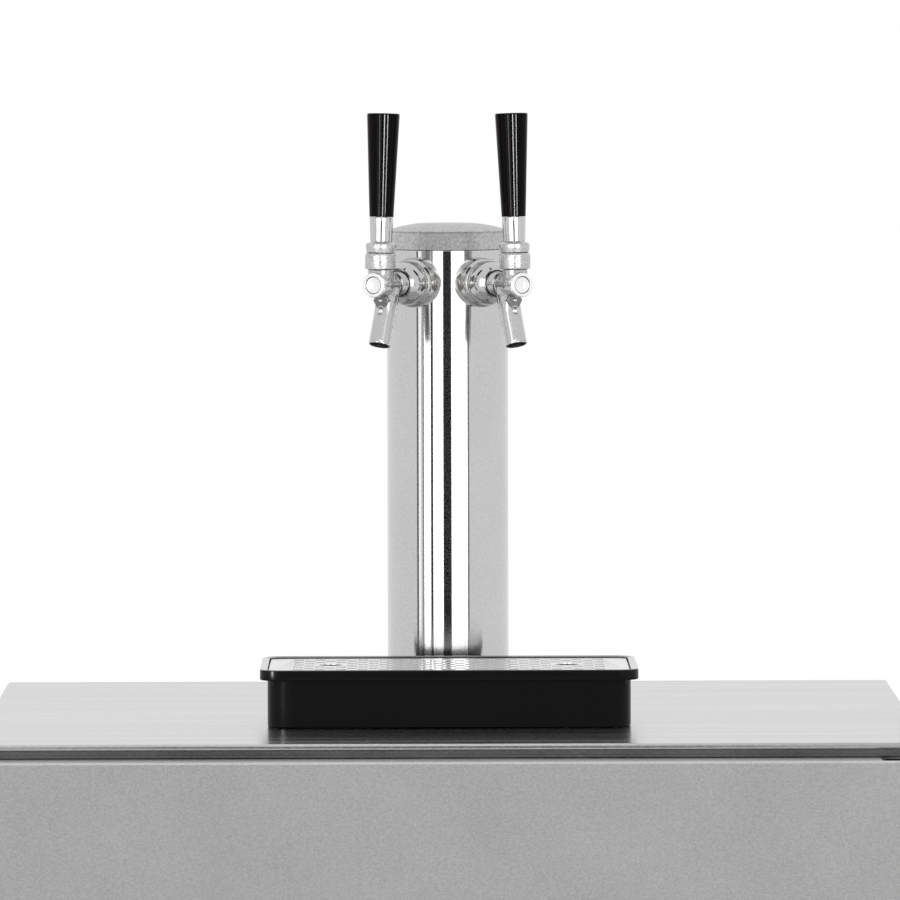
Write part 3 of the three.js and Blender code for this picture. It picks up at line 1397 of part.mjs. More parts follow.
function buildFaucetBody(group, side) {
  const tailBack = THREAD_OUT + FIT;
  const tailFront = NUT_OUT - NUT_LIP_T - FIT;
  const barrel = turnedOut(
    [
      [0, tailBack],
      [BARREL_TAIL_R, tailBack],
      [BARREL_TAIL_R, tailFront],
      [BARREL_NECK_R, tailFront],
      [BARREL_NECK_R, NUT_OUT + NUT_LIP_T / 2],
      [BARREL_WAIST_R, (NUT_OUT + SPOUT_TOP_OUT) / 2],
      [BARREL_R, SPOUT_TOP_OUT + NUT_LIP_T],
      [BARREL_R, BARREL_OUT],
      [0, BARREL_OUT],
    ],
    0, 0, 0,
  );
  const boss = cut(
    turned(rod(BOSS_R, 0, PIVOT_H - FIT), 0, -LEVER_OUT, 0),
    block(
      -BOSS_R - OVERRUN, BOSS_R + OVERRUN, -LEVER_OUT - BOSS_R - OVERRUN, -BARREL_OUT,
      -OVERRUN, PIVOT_H,
    ),
  );
  const stub = turned(
    rod(STUB_R, PIVOT_H - 2 * FIT, PIVOT_H + STUB_H), 0, -LEVER_OUT, 0,
  );
  const spout = spoutCone(SPOUT_TIP_R, SPOUT_TOP_R, 0, 0);
  const web = webSolid();
  const hexBoss = turnedOut(
    rod(HEX_BOSS_R, SPOUT_TOP_OUT, HEX_BOSS_OUT), 0, 0, -HEX_BOSS_DROP, SIDES_HEX,
  );
  const ball = solid(
    new THREE.SphereGeometry(VENT_BALL_R, SIDES_SMALL, SIDES_SMALL / 2).translate(
      0, -HEX_BOSS_OUT, -HEX_BOSS_DROP,
    ),
  );
  const nub = solid(
    new THREE.SphereGeometry(NUB_R, SIDES_SMALL, SIDES_SMALL / 2).translate(
      0, -NUB_OUT, -NUB_DROP,
    ),
  );
  const bores = joined(
    turnedOut(rod(BARREL_BORE_R, THREAD_OUT - OVERRUN, BARREL_OUT + OVERRUN), 0, 0, 0, SIDES),
    turned(rod(STUB_BORE_R, 0, PIVOT_H + STUB_H + OVERRUN), 0, -LEVER_OUT, 0, SIDES),
    spoutCone(SPOUT_BORE_TIP_R, SPOUT_BORE_TOP_R, OVERRUN, 0),
  );
  const shape = joined(barrel, boss, stub, spout, web, hexBoss, ball, nub);
  piece(group, `${side}_faucet_body`, cut(shape, bores), chrome);
}

// The flat cheek that fills the corner between the barrel, the boss and the spout.
function webSolid() {
  const corner = (out, r, [rShare, dropShare]) =>
    new THREE.Vector2(out + r * rShare, -SPOUT_DROP * dropShare);
  const top = PIVOT_H - 2 * FIT;
  const bossFront = corner(LEVER_OUT, BOSS_R, WEB_BOSS_SHARES);
  const outline = new THREE.Shape([
    corner(SPOUT_TOP_OUT, -SPOUT_TOP_R, WEB_TOP_SHARES),
    corner(SPOUT_TIP_OUT, -SPOUT_TIP_R, WEB_LOW_SHARES),
    corner(SPOUT_TIP_OUT, -SPOUT_TIP_R, WEB_FRONT_SHARES),
    bossFront,
    new THREE.Vector2(bossFront.x, top),
    new THREE.Vector2(LEVER_OUT - BOSS_R * WEB_BACK_SHARE, top),
  ]);
  return solid(
    new THREE.ExtrudeGeometry(outline, { depth: WEB_T, bevelEnabled: false })
      .translate(0, 0, -WEB_T / 2)
      .rotateY(-Math.PI / 2)
      .rotateX(Math.PI / 2),
  );
}

function buildFaceCap(group, side) {
  const back = BARREL_OUT + FIT;
  const front = back + FACE_CAP_T;
  const edge = FACE_CAP_CHAMFER;
  const cap = turnedOut(
    [
      [0, back - FACE_PLUG_L],
      [FACE_PLUG_R, back - FACE_PLUG_L],
      [FACE_PLUG_R, back],
      [FACE_CAP_R, back],
      [FACE_CAP_R, front - edge],
      [FACE_CAP_R - edge, front],
      [FACE_CAP_RING_R, front],
      [FACE_CAP_RING_R - FACE_CAP_DISH, front - FACE_CAP_DISH],
      [FACE_CAP_RING_R / 2, front - FACE_CAP_DISH],
      [0, front - 2 * FACE_CAP_DISH],
    ],
    0, 0, 0,
  );
  piece(group, `${side}_face_cap`, cap, chrome);
}

function buildBonnet(group, side) {
  const z0 = PIVOT_H;
  const z1 = PIVOT_H + BONNET_H;
  const roof = z0 + STUB_H + 2 * FIT;
  const crownFrom = degrees(Math.asin((BONNET_H - BONNET_CHAMFER) / BONNET_CROWN_R));
  const outer = turned(
    [
      [0, z0],
      [BONNET_R - BONNET_CHAMFER, z0],
      [BONNET_R, z0 + BONNET_CHAMFER],
      [BONNET_R, z1 - BONNET_CHAMFER],
      ...arc(0, PIVOT_H, BONNET_CROWN_R, crownFrom + BONNET_CROWN_EDGE_DEG, 90),
    ],
    0, -LEVER_OUT, 0,
  );
  const socket = turned(rod(STUB_R + FIT, z0 - OVERRUN, roof), 0, -LEVER_OUT, 0);
  const slot = block(
    -SLOT_HALF_W, SLOT_HALF_W, -LEVER_OUT - SLOT_FRONT, -LEVER_OUT + SLOT_BACK,
    roof - FIT, PIVOT_H + BONNET_CROWN_R + OVERRUN,
  );
  piece(group, `${side}_bonnet`, cut(outer, socket, slot), chrome);
}

function leverGroup(group) {
  const pivot = new THREE.Group();
  pivot.position.set(0, -LEVER_OUT, PIVOT_H);
  pivot.rotation.x = -turn(LEVER_LEAN_DEG);
  group.add(pivot);
  return pivot;
}

function buildLever(pivot, side) {
  const under = BONNET_CROWN_R + COLLAR_GAP;
  const bandTop = LEVER_COLLAR_TOP - LEVER_CHAMFER;
  const angle = (r) => degrees(Math.acos(r / under));
  const ballAngle = degrees(Math.acos(LEVER_STEM_R / LEVER_BALL_R));
  const footAngle = degrees(Math.acos(LEVER_NECK_SHARE));
  const profile = [
    ...arc(0, -PIVOT_H, LEVER_FOOT_R, -90, footAngle),
    [LEVER_FOOT_R * LEVER_NECK_SHARE, -LEVER_BALL_R * LEVER_NECK_DROP_SHARE],
    ...arc(0, 0, LEVER_BALL_R, -ballAngle, ballAngle),
    ...arc(0, 0, under, angle(LEVER_STEM_R), angle(LEVER_COLLAR_LOW_R)),
    [LEVER_COLLAR_R, bandTop - LEVER_COLLAR_BAND_H],
    [LEVER_COLLAR_R, bandTop],
    [FERRULE_HIGH_R, LEVER_COLLAR_TOP],
    [STUD_R, LEVER_COLLAR_TOP],
    [STUD_R, STUD_TOP],
    [0, STUD_TOP],
  ];
  piece(pivot, `${side}_lever`, turned(profile, 0, 0, 0), chrome);
}

function buildFerruleAndHandle(pivot, side) {
  const bore = STUD_R + FIT;
  const low = LEVER_COLLAR_TOP + FIT;
  const ferrule = turned(
    [
      [bore, low],
      [FERRULE_LOW_R, low],
      [FERRULE_HIGH_R, FERRULE_TOP - FIT],
      [bore, FERRULE_TOP - FIT],
    ],
    0, 0, 0,
  );
  piece(pivot, `${side}_ferrule`, ferrule, chrome);
  const edge = TAP_HANDLE_EDGE_R;
  const handle = turned(
    [
      [bore, FERRULE_TOP],
      [TAP_HANDLE_LOW_R, FERRULE_TOP],
      ...arc(TAP_HANDLE_HIGH_R - edge, HANDLE_TOP - edge, edge, 0, 90),
      [0, HANDLE_TOP],
      [0, STUD_TOP + FIT],
      [bore, STUD_TOP + FIT],
    ],
    0, 0, 0,
  );
  piece(pivot, `${side}_tap_handle`, handle, black);
}

// The sliding shaft: a seal at the back, a rod, and a yoke that holds the lever's foot.
function buildShaft(group, side) {
  const yokeBack = LEVER_OUT - YOKE_HALF_L;
  const yokeFront = LEVER_OUT + YOKE_HALF_L;
  const shaft = turnedOut(
    [
      [0, SHAFT_BACK],
      [SHAFT_SEAL_R, SHAFT_BACK],
      [SHAFT_SEAL_R, SHAFT_BACK + SHAFT_SEAL_T],
      [SHAFT_R, SHAFT_BACK + SHAFT_SEAL_T],
      [SHAFT_R, yokeBack],
      [YOKE_R, yokeBack],
      [YOKE_R, yokeFront],
      [0, yokeFront],
    ],
    0, 0, 0,
  );
  const lean = PIVOT_H * Math.sin(turn(LEVER_LEAN_DEG));
  const gap = LEVER_FOOT_R + PLAY;
  const slot = block(
    -gap, gap, -LEVER_OUT - lean - gap, -LEVER_OUT - lean + gap, -YOKE_SLOT_DEPTH, YOKE_R + OVERRUN,
  );
  const relief = block(
    -YOKE_R, YOKE_R, -yokeFront - OVERRUN, -LEVER_OUT, YOKE_LIP_H, YOKE_R + OVERRUN,
  );
  piece(group, `${side}_faucet_shaft`, cut(shaft, slot, relief), polished);
}

function buildFaucet(side, way) {
  const group = faucetGroup(way);
  buildShank(group, side);
  buildCouplingNut(group, side);
  buildFaucetBody(group, side);
  buildFaceCap(group, side);
  buildBonnet(group, side);
  buildShaft(group, side);
  const pivot = leverGroup(group);
  buildLever(pivot, side);
  buildFerruleAndHandle(pivot, side);
}

kegerator.name = "kegerator";
buildWorktop();
buildCabinet();
buildBase();
buildLegs();
buildMachinery();
buildEvaporator();
buildDoor();
buildDoorHandle();
buildHinges();
buildGas();
buildCoupler("left");
buildCoupler("right");
buildGasHoses();
buildBeerLine("left", -1);
buildBeerLine("right", 1);
buildTray();
buildTower();
buildFaucet("left", -1);
buildFaucet("right", 1);

export default kegerator;
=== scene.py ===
import json
from itertools import product
from math import atan2, cos, hypot, pi, radians, sin, tan

import bmesh
import bpy
import numpy as np
from mathutils import Matrix, Vector

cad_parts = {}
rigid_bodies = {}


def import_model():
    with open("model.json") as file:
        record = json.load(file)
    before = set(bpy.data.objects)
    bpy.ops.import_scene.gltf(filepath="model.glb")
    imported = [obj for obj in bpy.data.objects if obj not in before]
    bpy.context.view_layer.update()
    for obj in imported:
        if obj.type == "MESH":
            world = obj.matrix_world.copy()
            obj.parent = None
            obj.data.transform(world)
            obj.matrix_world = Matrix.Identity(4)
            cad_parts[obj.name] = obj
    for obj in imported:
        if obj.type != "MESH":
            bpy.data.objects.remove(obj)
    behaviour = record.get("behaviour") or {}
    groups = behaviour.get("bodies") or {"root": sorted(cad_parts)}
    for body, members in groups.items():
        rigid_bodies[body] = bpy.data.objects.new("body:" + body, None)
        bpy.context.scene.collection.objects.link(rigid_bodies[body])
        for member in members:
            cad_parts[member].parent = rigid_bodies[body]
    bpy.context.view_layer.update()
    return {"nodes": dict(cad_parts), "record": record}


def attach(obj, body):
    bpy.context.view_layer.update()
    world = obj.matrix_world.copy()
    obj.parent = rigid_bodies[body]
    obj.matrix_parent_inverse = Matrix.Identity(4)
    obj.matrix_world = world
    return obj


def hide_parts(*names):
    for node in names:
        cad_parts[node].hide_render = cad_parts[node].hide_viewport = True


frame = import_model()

NODES = frame["nodes"]
MM = 0.001

# The solids keep their places. The worktop, the tower, the tray and the faucets get meshes with
# more detail here. The other nodes keep their own shape, and most of them get softened edges.
# Sizes are in millimetres, in the frame of the part: x to the right, front towards -y, z up.

# Worktop
TOP_RECT = (-381, 381, -261.5, 348.5)
TOP_CORNER = 4.5
TOP_Z = 914
NOSE_Z = 909.3
STRIP_Z = 903

# Column and cap
TOWER_Y = 108.5
COLUMN_R = 50.8
COLUMN_BORE_R = 49.2
COLUMN_FOOT = 921.9
COLUMN_TOP = 1296.7
CAP_R = 51.7
CAP_FOOT = 1297
CAP_PLUG_R = 49  # the cap's lower end, inside the column
CAP_PLUG_L = 14
CAP_GROOVE = (1311.1, 1311.6)
CAP_GROOVE_DEPTH = 0.6
CAP_EDGE_TOP = 1312.5
CAP_TOP = 1318

# Drip tray and grate
TRAY_RECT = (-154, 154, -125.5, 22.5)
TRAY_TOP = 962
TRAY_WALL_TOP = 953.2
TRAY_LEDGE_Z = 958.7
TRAY_FLOOR_Z = 920.1
TRAY_UNDERSIDE = 914.6
TRAY_RIM_W = 6
TRAY_INSIDE = 9  # from the rim's edge to the inner face of the wall
RIM_CORNER = 16
WALL_CORNER = 26
FOOT_R = 7
FOOT_Z = (914.3, 917)
FEET_X = (-128, 128)
FEET_Y = (-103, 0)
GRATE_RECT = (-146.7, 146.7, -119, 16)
GRATE_Z = (959.0, 960.6)
GRATE_MIDDLE_Y = -51.5
GRATE_CORNER = 9.5
GRATE_EDGE = 0.2
SLOT_COLUMNS = 14  # on each side of the middle one
SLOT_PITCH = (8.8, 24)
SLOT_REACH = (2.3, 3.8)  # from a slot's middle to the middles of its round corners
SLOT_CORNER = 1.6
DRAIN_X = 97
DRAIN_R = 9.6
DRAIN_CLEAR = (15.6, 19.8)  # no slot has its middle this near to a drain hole's

# Faucets: each goes out from the column's axis, SPREAD degrees to its side
SHANK_Z = 1270
SPREAD = 30
ELBOW_OUT = 24
ELBOW_DROP = 32
LINE_BORE_R = 3.2
TAIL_R, TAIL_BACK = 5.6, 18.4
LOCK_NUT_R, LOCK_NUT_OUT = 15, (38, 45)
SHANK_R, SHANK_BACK = 11.1, 30
COLLAR_R, COLLAR_BACK, COLLAR_FRONT = 20.75, 45.5, 63.9
STEM_R, STEM_FRONT = 12.6, 71  # the shank's front end, inside the coupling nut
STEM_BORE_R, STEM_BORE_BACK = 8, 64
NUT_R = 18.4
NUT_BACK = 64.3
NUT_L = 17.7
VENT_OUT = 111
VENT_DROP = 13
STOP_DROP = 22
PIVOT_OUT = 111
PIVOT_H = 13
LEAN = 2.45  # degrees that a tap handle at rest leans back
DISC_R, DISC_BACK, DISC_FRONT = 10.3, 119.3, 123.3
DISC_STEM_R, DISC_STEM_BACK = 6.2, 116
BONNET_R, BONNET_WALL_TOP = 12.75, 24.6
LEVER_SLOT = (-3.6, 3.6, -11.2, 4.4, 18.6, 36)  # its sides in x, y and z, in the bonnet's place
CROWN_R = 17.5
LEVER_BALL_R = 5.8
LEVER_TIP_R = 2.8
LEVER_COLLAR_R, LEVER_COLLAR_TOP = 12.5, 22
STUD_R, STUD_TOP = 4.8, 58
FERRULE_FOOT, FERRULE_TOP = 22.3, 42.7
HANDLE_R = 13.5
HANDLE_FOOT = 43
HANDLE_TOP = 128.4
HANDLE_BORE_R = 5.2

# Metres and degrees of the set
LIGHT_DISTANCE = 8
FLAG_DISTANCE = 8.2
FLOOR_HALF = 4.0


# Materials
def wire(tree, source, target):
    tree.links.new(source, target)


def node(tree, kind, **values):
    made = tree.nodes.new(kind)
    for key, value in values.items():
        if key.startswith("in_"):
            made.inputs[key[3:].replace("_", " ")].default_value = value
        else:
            setattr(made, key, value)
    return made


def noise(tree, coords, scale, detail):
    """A noise whose grain has its own count per metre along each axis."""
    mapping = node(tree, "ShaderNodeMapping")
    mapping.inputs["Scale"].default_value = scale
    wire(tree, coords, mapping.inputs["Vector"])
    made = node(tree, "ShaderNodeTexNoise", in_Scale=1.0, in_Detail=detail, in_Roughness=0.55)
    wire(tree, mapping.outputs["Vector"], made.inputs["Vector"])
    return made.outputs["Fac"]


def spread(tree, value, low, high):
    """Maps the middle of a noise's range, where nearly all of it lies, onto low to high."""
    made = node(tree, "ShaderNodeMapRange")
    made.inputs["From Min"].default_value = 0.3
    made.inputs["From Max"].default_value = 0.7
    made.inputs["To Min"].default_value = low
    made.inputs["To Max"].default_value = high
    wire(tree, value, made.inputs["Value"])
    return made.outputs["Result"]


def surface(name, dark, light, rough, grain, bump=0.1, reach=0.00005, patch=(14, 14, 14),
            share=0.35, metallic=0.0, turned=False, **sockets):
    """A grained finish: colour and gloss follow a fine and a broad noise, relief the fine one.

    The broad noise has a share of the mix. A turned finish has its lines round the piece's axis.
    """
    material = bpy.data.materials.new(name)
    material.use_nodes = True
    tree = material.node_tree
    tree.nodes.clear()
    out = node(tree, "ShaderNodeOutputMaterial")
    shader = node(tree, "ShaderNodeBsdfPrincipled")
    wire(tree, shader.outputs["BSDF"], out.inputs["Surface"])
    coords = node(tree, "ShaderNodeTexCoord").outputs["Object"]
    fine = noise(tree, coords, grain, detail=3.0)
    broad = noise(tree, coords, patch, detail=2.0)
    both = node(tree, "ShaderNodeMix", data_type="FLOAT")
    both.inputs[0].default_value = share
    wire(tree, fine, both.inputs[2])
    wire(tree, broad, both.inputs[3])
    tint = node(tree, "ShaderNodeMix", data_type="RGBA")
    tint.inputs[6].default_value = (*dark, 1)
    tint.inputs[7].default_value = (*light, 1)
    wire(tree, spread(tree, both.outputs[0], 0, 1), tint.inputs[0])
    wire(tree, tint.outputs[2], shader.inputs["Base Color"])
    wire(tree, spread(tree, both.outputs[0], rough[0], rough[1]), shader.inputs["Roughness"])
    relief = node(tree, "ShaderNodeBump", in_Strength=bump, in_Distance=reach)
    wire(tree, fine, relief.inputs["Height"])
    wire(tree, relief.outputs["Normal"], shader.inputs["Normal"])
    if turned:
        lines = node(tree, "ShaderNodeTangent", direction_type="RADIAL", axis="Z")
        wire(tree, lines.outputs["Tangent"], shader.inputs["Tangent"])
    shader.inputs["Metallic"].default_value = metallic
    for key, value in sockets.items():
        shader.inputs[key.replace("_", " ")].default_value = value
    return material


def grey(value, warm=0.0):
    """A grey, with a share more red and less blue."""
    return (value * (1 + warm), value, value * (1 - warm))


STEEL = surface("brushed_steel", grey(0.41), grey(0.57), (0.40, 0.50), (560, 900, 900),
                bump=0.2, metallic=1.0, share=0.15)
WORKTOP_STEEL = surface("worktop_steel", grey(0.36), grey(0.62), (0.19, 0.28), (240, 900, 900),
                        bump=0.10, metallic=1.0, patch=(2, 45, 45), share=0.6)
CAP_STEEL = surface("cap_steel", grey(0.36), grey(0.68), (0.42, 0.55), (420, 420, 420),
                    bump=0.8, reach=0.00015, metallic=1.0, share=0.15)
POLISHED = surface("polished_steel", grey(0.50), grey(0.60), (0.085, 0.11), (620, 620, 620),
                   bump=0.03, metallic=1.0, share=0.2, turned=True, Anisotropic=1.0,
                   Anisotropic_Rotation=0.25)
GRATE_STEEL = surface("grate_steel", grey(0.62), grey(0.72), (0.16, 0.24), (900, 300, 300),
                      bump=0.05, metallic=1.0)
# Painted light: a pale, dull copy of the grate's steel for the walls of its slots, in place of the
# dark basin they reflect.
GRATE_WALL_LIGHT = surface("painted_light_grate_wall", grey(0.66), grey(0.78), (0.5, 0.6), (700, 700, 700),
                     bump=0.1)
CHROME = surface("chrome", grey(0.50), grey(0.58), (0.05, 0.09), (500, 500, 500),
                 bump=0.02, metallic=1.0)
CAST = surface("cast_chrome", grey(0.46), grey(0.54), (0.13, 0.19), (500, 500, 500),
               bump=0.02, metallic=1.0)
SATIN = surface("satin_chrome", grey(0.36), grey(0.66), (0.24, 0.36), (760, 760, 760),
                bump=1.0, reach=0.00012, metallic=1.0, share=0.1)
COLLAR = surface("collar_steel", grey(0.50, 0.01), grey(0.58, 0.01), (0.10, 0.16),
                 (300, 300, 300), bump=0.05, metallic=1.0)
# A brighter copy of chrome for the front caps: painted highlight, standing in for the glare of the
# lamps in their faces.
HIGHLIGHT_CHROME = surface("painted_highlight_chrome", grey(0.84), grey(0.92), (0.22, 0.30), (500, 500, 500),
               bump=0.02, metallic=1.0)
# Near black: painted shade inside the spout's bore and in the coupling nut's groove.
SHADE_BLACK = surface("painted_shade_black", grey(0.006), grey(0.014), (0.5, 0.6), (500, 500, 500), bump=0.1)
# A darker copy of chrome: painted shade on the hex plug under the body and at the edge of the cap's
# dish.
SHADED_CHROME = surface("painted_shade_chrome", grey(0.17), grey(0.24), (0.16, 0.24), (500, 500, 500),
                      bump=0.06, metallic=1.0)
ZINC = surface("zinc_steel", grey(0.36), grey(0.52), (0.34, 0.48), (160, 160, 160),
               bump=0.12, metallic=1.0, share=0.5, patch=(60, 60, 60))
COMPRESSOR = surface("compressor_black", grey(0.012), grey(0.03), (0.32, 0.45), (420, 420, 420),
                     bump=0.3)
FINS = surface("condenser_aluminium", grey(0.38), grey(0.6), (0.34, 0.46), (900, 1200, 60),
               bump=0.35, reach=0.0003, metallic=1.0)
CYLINDER = surface("cylinder_aluminium", grey(0.5), grey(0.62), (0.28, 0.4), (90, 90, 1100),
                   bump=0.15, metallic=1.0)
BLACK = surface("black_plastic", grey(0.008), grey(0.02), (0.42, 0.55), (1600, 1600, 1600),
                bump=0.25)
# Painted shade: a dark metal strip under the worktop's nose stands in for the shadow and dark
# reflection of the gap above the door.
SHADE_STRIP = surface("painted_shade_strip", grey(0.08), grey(0.20), (0.4, 0.55), (500, 500, 1500), bump=0.3,
                metallic=1.0)
TRAY = surface("tray_plastic", grey(0.0065), grey(0.0105), (0.20, 0.28), (900, 900, 900),
               bump=0.10, Specular_IOR_Level=0.10)
TRAY_RIM = surface("tray_rim", grey(0.006), grey(0.010), (0.12, 0.2), (900, 900, 900),
                   bump=0.04, Specular_IOR_Level=0.9, Coat_Weight=0.6, Coat_Roughness=0.1)
HANDLE = surface("tap_handle_plastic", (0.0022, 0.0016, 0.0014), (0.0042, 0.0030, 0.0027),
                 (0.05, 0.07), (500, 500, 120), bump=0.0, Specular_IOR_Level=0.05)
LINER = surface("liner", grey(0.66, 0.008), grey(0.72, 0.01), (0.34, 0.44), (260, 260, 260),
                bump=0.12, reach=0.0001)
FOAM = surface("foam", (0.48, 0.40, 0.22), (0.64, 0.55, 0.34), (0.85, 0.95), (900, 900, 900),
               bump=0.6, reach=0.0004, share=0.4)
RUBBER = surface("gasket_rubber", grey(0.012), grey(0.026), (0.6, 0.75), (1500, 1500, 1500),
                 bump=0.3)
GAS_HOSE = surface("gas_hose", (0.20, 0.012, 0.010), (0.30, 0.022, 0.018), (0.35, 0.5),
                   (900, 900, 900), bump=0.3)
BEER_LINE = surface("beer_line", (0.55, 0.58, 0.57), (0.66, 0.69, 0.68), (0.18, 0.28),
                    (300, 300, 120), bump=0.08)

# What each material slot of the record looks like
BY_SLOT = {
    "brushed_steel": STEEL, "polished_steel": POLISHED, "chrome": CHROME, "zinc_steel": ZINC,
    "compressor_black": COMPRESSOR, "condenser_aluminium": FINS,
    "cylinder_aluminium": CYLINDER, "black_plastic": BLACK, "tray_plastic": TRAY,
    "tap_handle_plastic": HANDLE, "liner": LINER, "foam": FOAM, "gasket_rubber": RUBBER,
    "gas_hose": GAS_HOSE, "beer_line": BEER_LINE,
}


def dress(name, material):
    """Gives a CAD node one material."""
    data = NODES[name].data
    data.materials.clear()
    data.materials.append(material)
    data.polygons.foreach_set("material_index", [0] * len(data.polygons))


def soften(name, width, panel=False):
    """Rounds the hard edges of a CAD node with modifiers, and shades its curves smooth.

    A panel's normals follow its large faces, so that no shade runs in from its edges.
    """
    piece = NODES[name]
    weld = piece.modifiers.new("weld", "WELD")
    weld.merge_threshold = 0.00001
    flat = piece.modifiers.new("flat", "DECIMATE")
    flat.decimate_type = "DISSOLVE"
    flat.angle_limit = radians(0.4)
    bevel = piece.modifiers.new("bevel", "BEVEL")
    bevel.width = width * MM
    bevel.segments = 2
    bevel.limit_method = "ANGLE"
    bevel.angle_limit = radians(28)
    if panel:
        weighted = piece.modifiers.new("weighted", "WEIGHTED_NORMAL")
        weighted.weight = 100
        weighted.keep_sharp = True
    smooth(piece.data, 40)


def smooth(data, angle):
    data.polygons.foreach_set("use_smooth", [True] * len(data.polygons))
    data.set_sharp_from_angle(angle=radians(angle))


# Mesh helpers
def make_piece(name, verts, faces, material, body, slot, replaces=(), angle=35):
    """A new piece that rides on a body, and may take the place of CAD nodes."""
    data = bpy.data.meshes.new(name)
    data.from_pydata([tuple(v) for v in verts], [], faces)
    mesh = bmesh.new()
    mesh.from_mesh(data)
    bmesh.ops.recalc_face_normals(mesh, faces=mesh.faces[:])
    mesh.to_mesh(data)
    mesh.free()
    data.materials.append(material)
    smooth(data, angle)
    piece = bpy.data.objects.new(name, data)
    bpy.context.scene.collection.objects.link(piece)
    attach(piece, body)
    if replaces:
        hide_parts(*replaces)
    return piece


def fillet(points, closed=False, steps=5):
    """Rounds the corners of a profile of (across, along, radius) points."""
    out = []
    count = len(points)
    for i, point in enumerate(points):
        radius = point[2] if len(point) > 2 else 0
        if radius <= 0 or (not closed and i in (0, count - 1)):
            out.append((point[0], point[1]))
            continue
        here = Vector(point[:2])
        before = Vector(points[i - 1][:2]) - here
        after = Vector(points[(i + 1) % count][:2]) - here
        half = before.angle(after) / 2
        reach = min(radius / tan(half), before.length * 0.49, after.length * 0.49)
        size = reach * tan(half)
        middle = here + (before.normalized() + after.normalized()).normalized() * (size / sin(half))
        first = here + before.normalized() * reach - middle
        last = here + after.normalized() * reach - middle
        start = atan2(first.y, first.x)
        turn = (atan2(last.y, last.x) - start + pi) % (2 * pi) - pi
        for k in range(steps + 1):
            angle = start + turn * k / steps
            out.append((middle.x + size * cos(angle), middle.y + size * sin(angle)))
    return out


def lathe_mesh(profile, place, segments, closed=False):
    """Turns (radius, height) points round the z axis of a place."""
    verts, rings, faces = [], [], []
    for r, h in profile:
        if r < 1e-6:
            rings.append([len(verts)])
            verts.append(place @ Vector((0, 0, h * MM)))
            continue
        rings.append(list(range(len(verts), len(verts) + segments)))
        for k in range(segments):
            a = 2 * pi * k / segments
            verts.append(place @ Vector((r * cos(a) * MM, r * sin(a) * MM, h * MM)))
    pairs = list(zip(rings, rings[1:])) + ([(rings[-1], rings[0])] if closed else [])
    for low, high in pairs:
        for k in range(segments):
            j = (k + 1) % segments
            if len(low) == 1 and len(high) > 1:
                faces.append((low[0], high[j], high[k]))
            elif len(high) == 1 and len(low) > 1:
                faces.append((low[k], low[j], high[0]))
            elif len(low) > 1:
                faces.append((low[k], low[j], high[j], high[k]))
    return verts, faces


def merged(*meshes):
    """Several meshes as one list of points and one of faces."""
    verts, faces = [], []
    for more, rows in meshes:
        faces += [tuple(i + len(verts) for i in row) for row in rows]
        verts += more
    return verts, faces


def rect_loop(x0, x1, y0, y1, radius, z, steps):
    """Points round a rectangle with round corners, in metres."""
    loop = []
    corners = ((x1 - radius, y1 - radius, 0), (x0 + radius, y1 - radius, 90),
               (x0 + radius, y0 + radius, 180), (x1 - radius, y0 + radius, 270))
    for cx, cy, first in corners:
        for k in range(steps + 1):
            a = radians(first + 90 * k / steps)
            loop.append(Vector((cx + radius * cos(a), cy + radius * sin(a), z)) * MM)
    return loop


def stack_mesh(loops):
    """A closed solid from loops of the same length, one after another."""
    verts = [v for loop in loops for v in loop]
    count = len(loops[0])
    faces = [tuple(reversed(range(count)))]
    for i in range(len(loops) - 1):
        for k in range(count):
            j = (k + 1) % count
            a, b = i * count, (i + 1) * count
            faces.append((a + k, a + j, b + j, b + k))
    last = (len(loops) - 1) * count
    faces.append(tuple(range(last, last + count)))
    return verts, faces


def rect_mesh(rect, corner, profile, steps=8):
    """Sweeps (inset, height) points round a rectangle, whose corner radius follows the height."""
    x0, x1, y0, y1 = rect
    loops = [
        rect_loop(x0 + i, x1 - i, y0 + i, y1 - i, max(corner(z) - i, 0.4), z, steps)
        for i, z in profile
    ]
    return stack_mesh(loops)


def cut(piece, *tools):
    """Takes the tools' shapes out of a piece, and leaves no modifier behind."""
    made = []
    for verts, faces in tools:
        data = bpy.data.meshes.new("tool")
        data.from_pydata([tuple(v) for v in verts], [], faces)
        tool = bpy.data.objects.new("tool", data)
        bpy.context.scene.collection.objects.link(tool)
        modifier = piece.modifiers.new("cut", "BOOLEAN")
        modifier.operation = "DIFFERENCE"
        modifier.solver = "EXACT"
        modifier.object = tool
        made.append(tool)
    bpy.context.view_layer.update()
    graph = bpy.context.evaluated_depsgraph_get()
    data = bpy.data.meshes.new_from_object(piece.evaluated_get(graph))
    piece.modifiers.clear()
    old = piece.data
    piece.data = data
    bpy.data.meshes.remove(old)
    for tool in made:
        bpy.data.objects.remove(tool)
    smooth(piece.data, 35)


def box_mesh(x0, x1, y0, y1, z0, z1, place):
    corners = [Vector(c) * MM for c in product((x0, x1), (y0, y1), (z0, z1))]
    faces = [(0, 1, 3, 2), (4, 6, 7, 5), (0, 4, 5, 1), (2, 3, 7, 6), (0, 2, 6, 4), (1, 5, 7, 3)]
    return [place @ c for c in corners], faces


def at(x, y, z):
    return Matrix.Translation(Vector((x, y, z)) * MM)


def axes(side, up, out, origin):
    """A place with the given directions as its x, y and z axes."""
    made = Matrix((side, up, out)).transposed().to_4x4()
    made.translation = origin
    return made


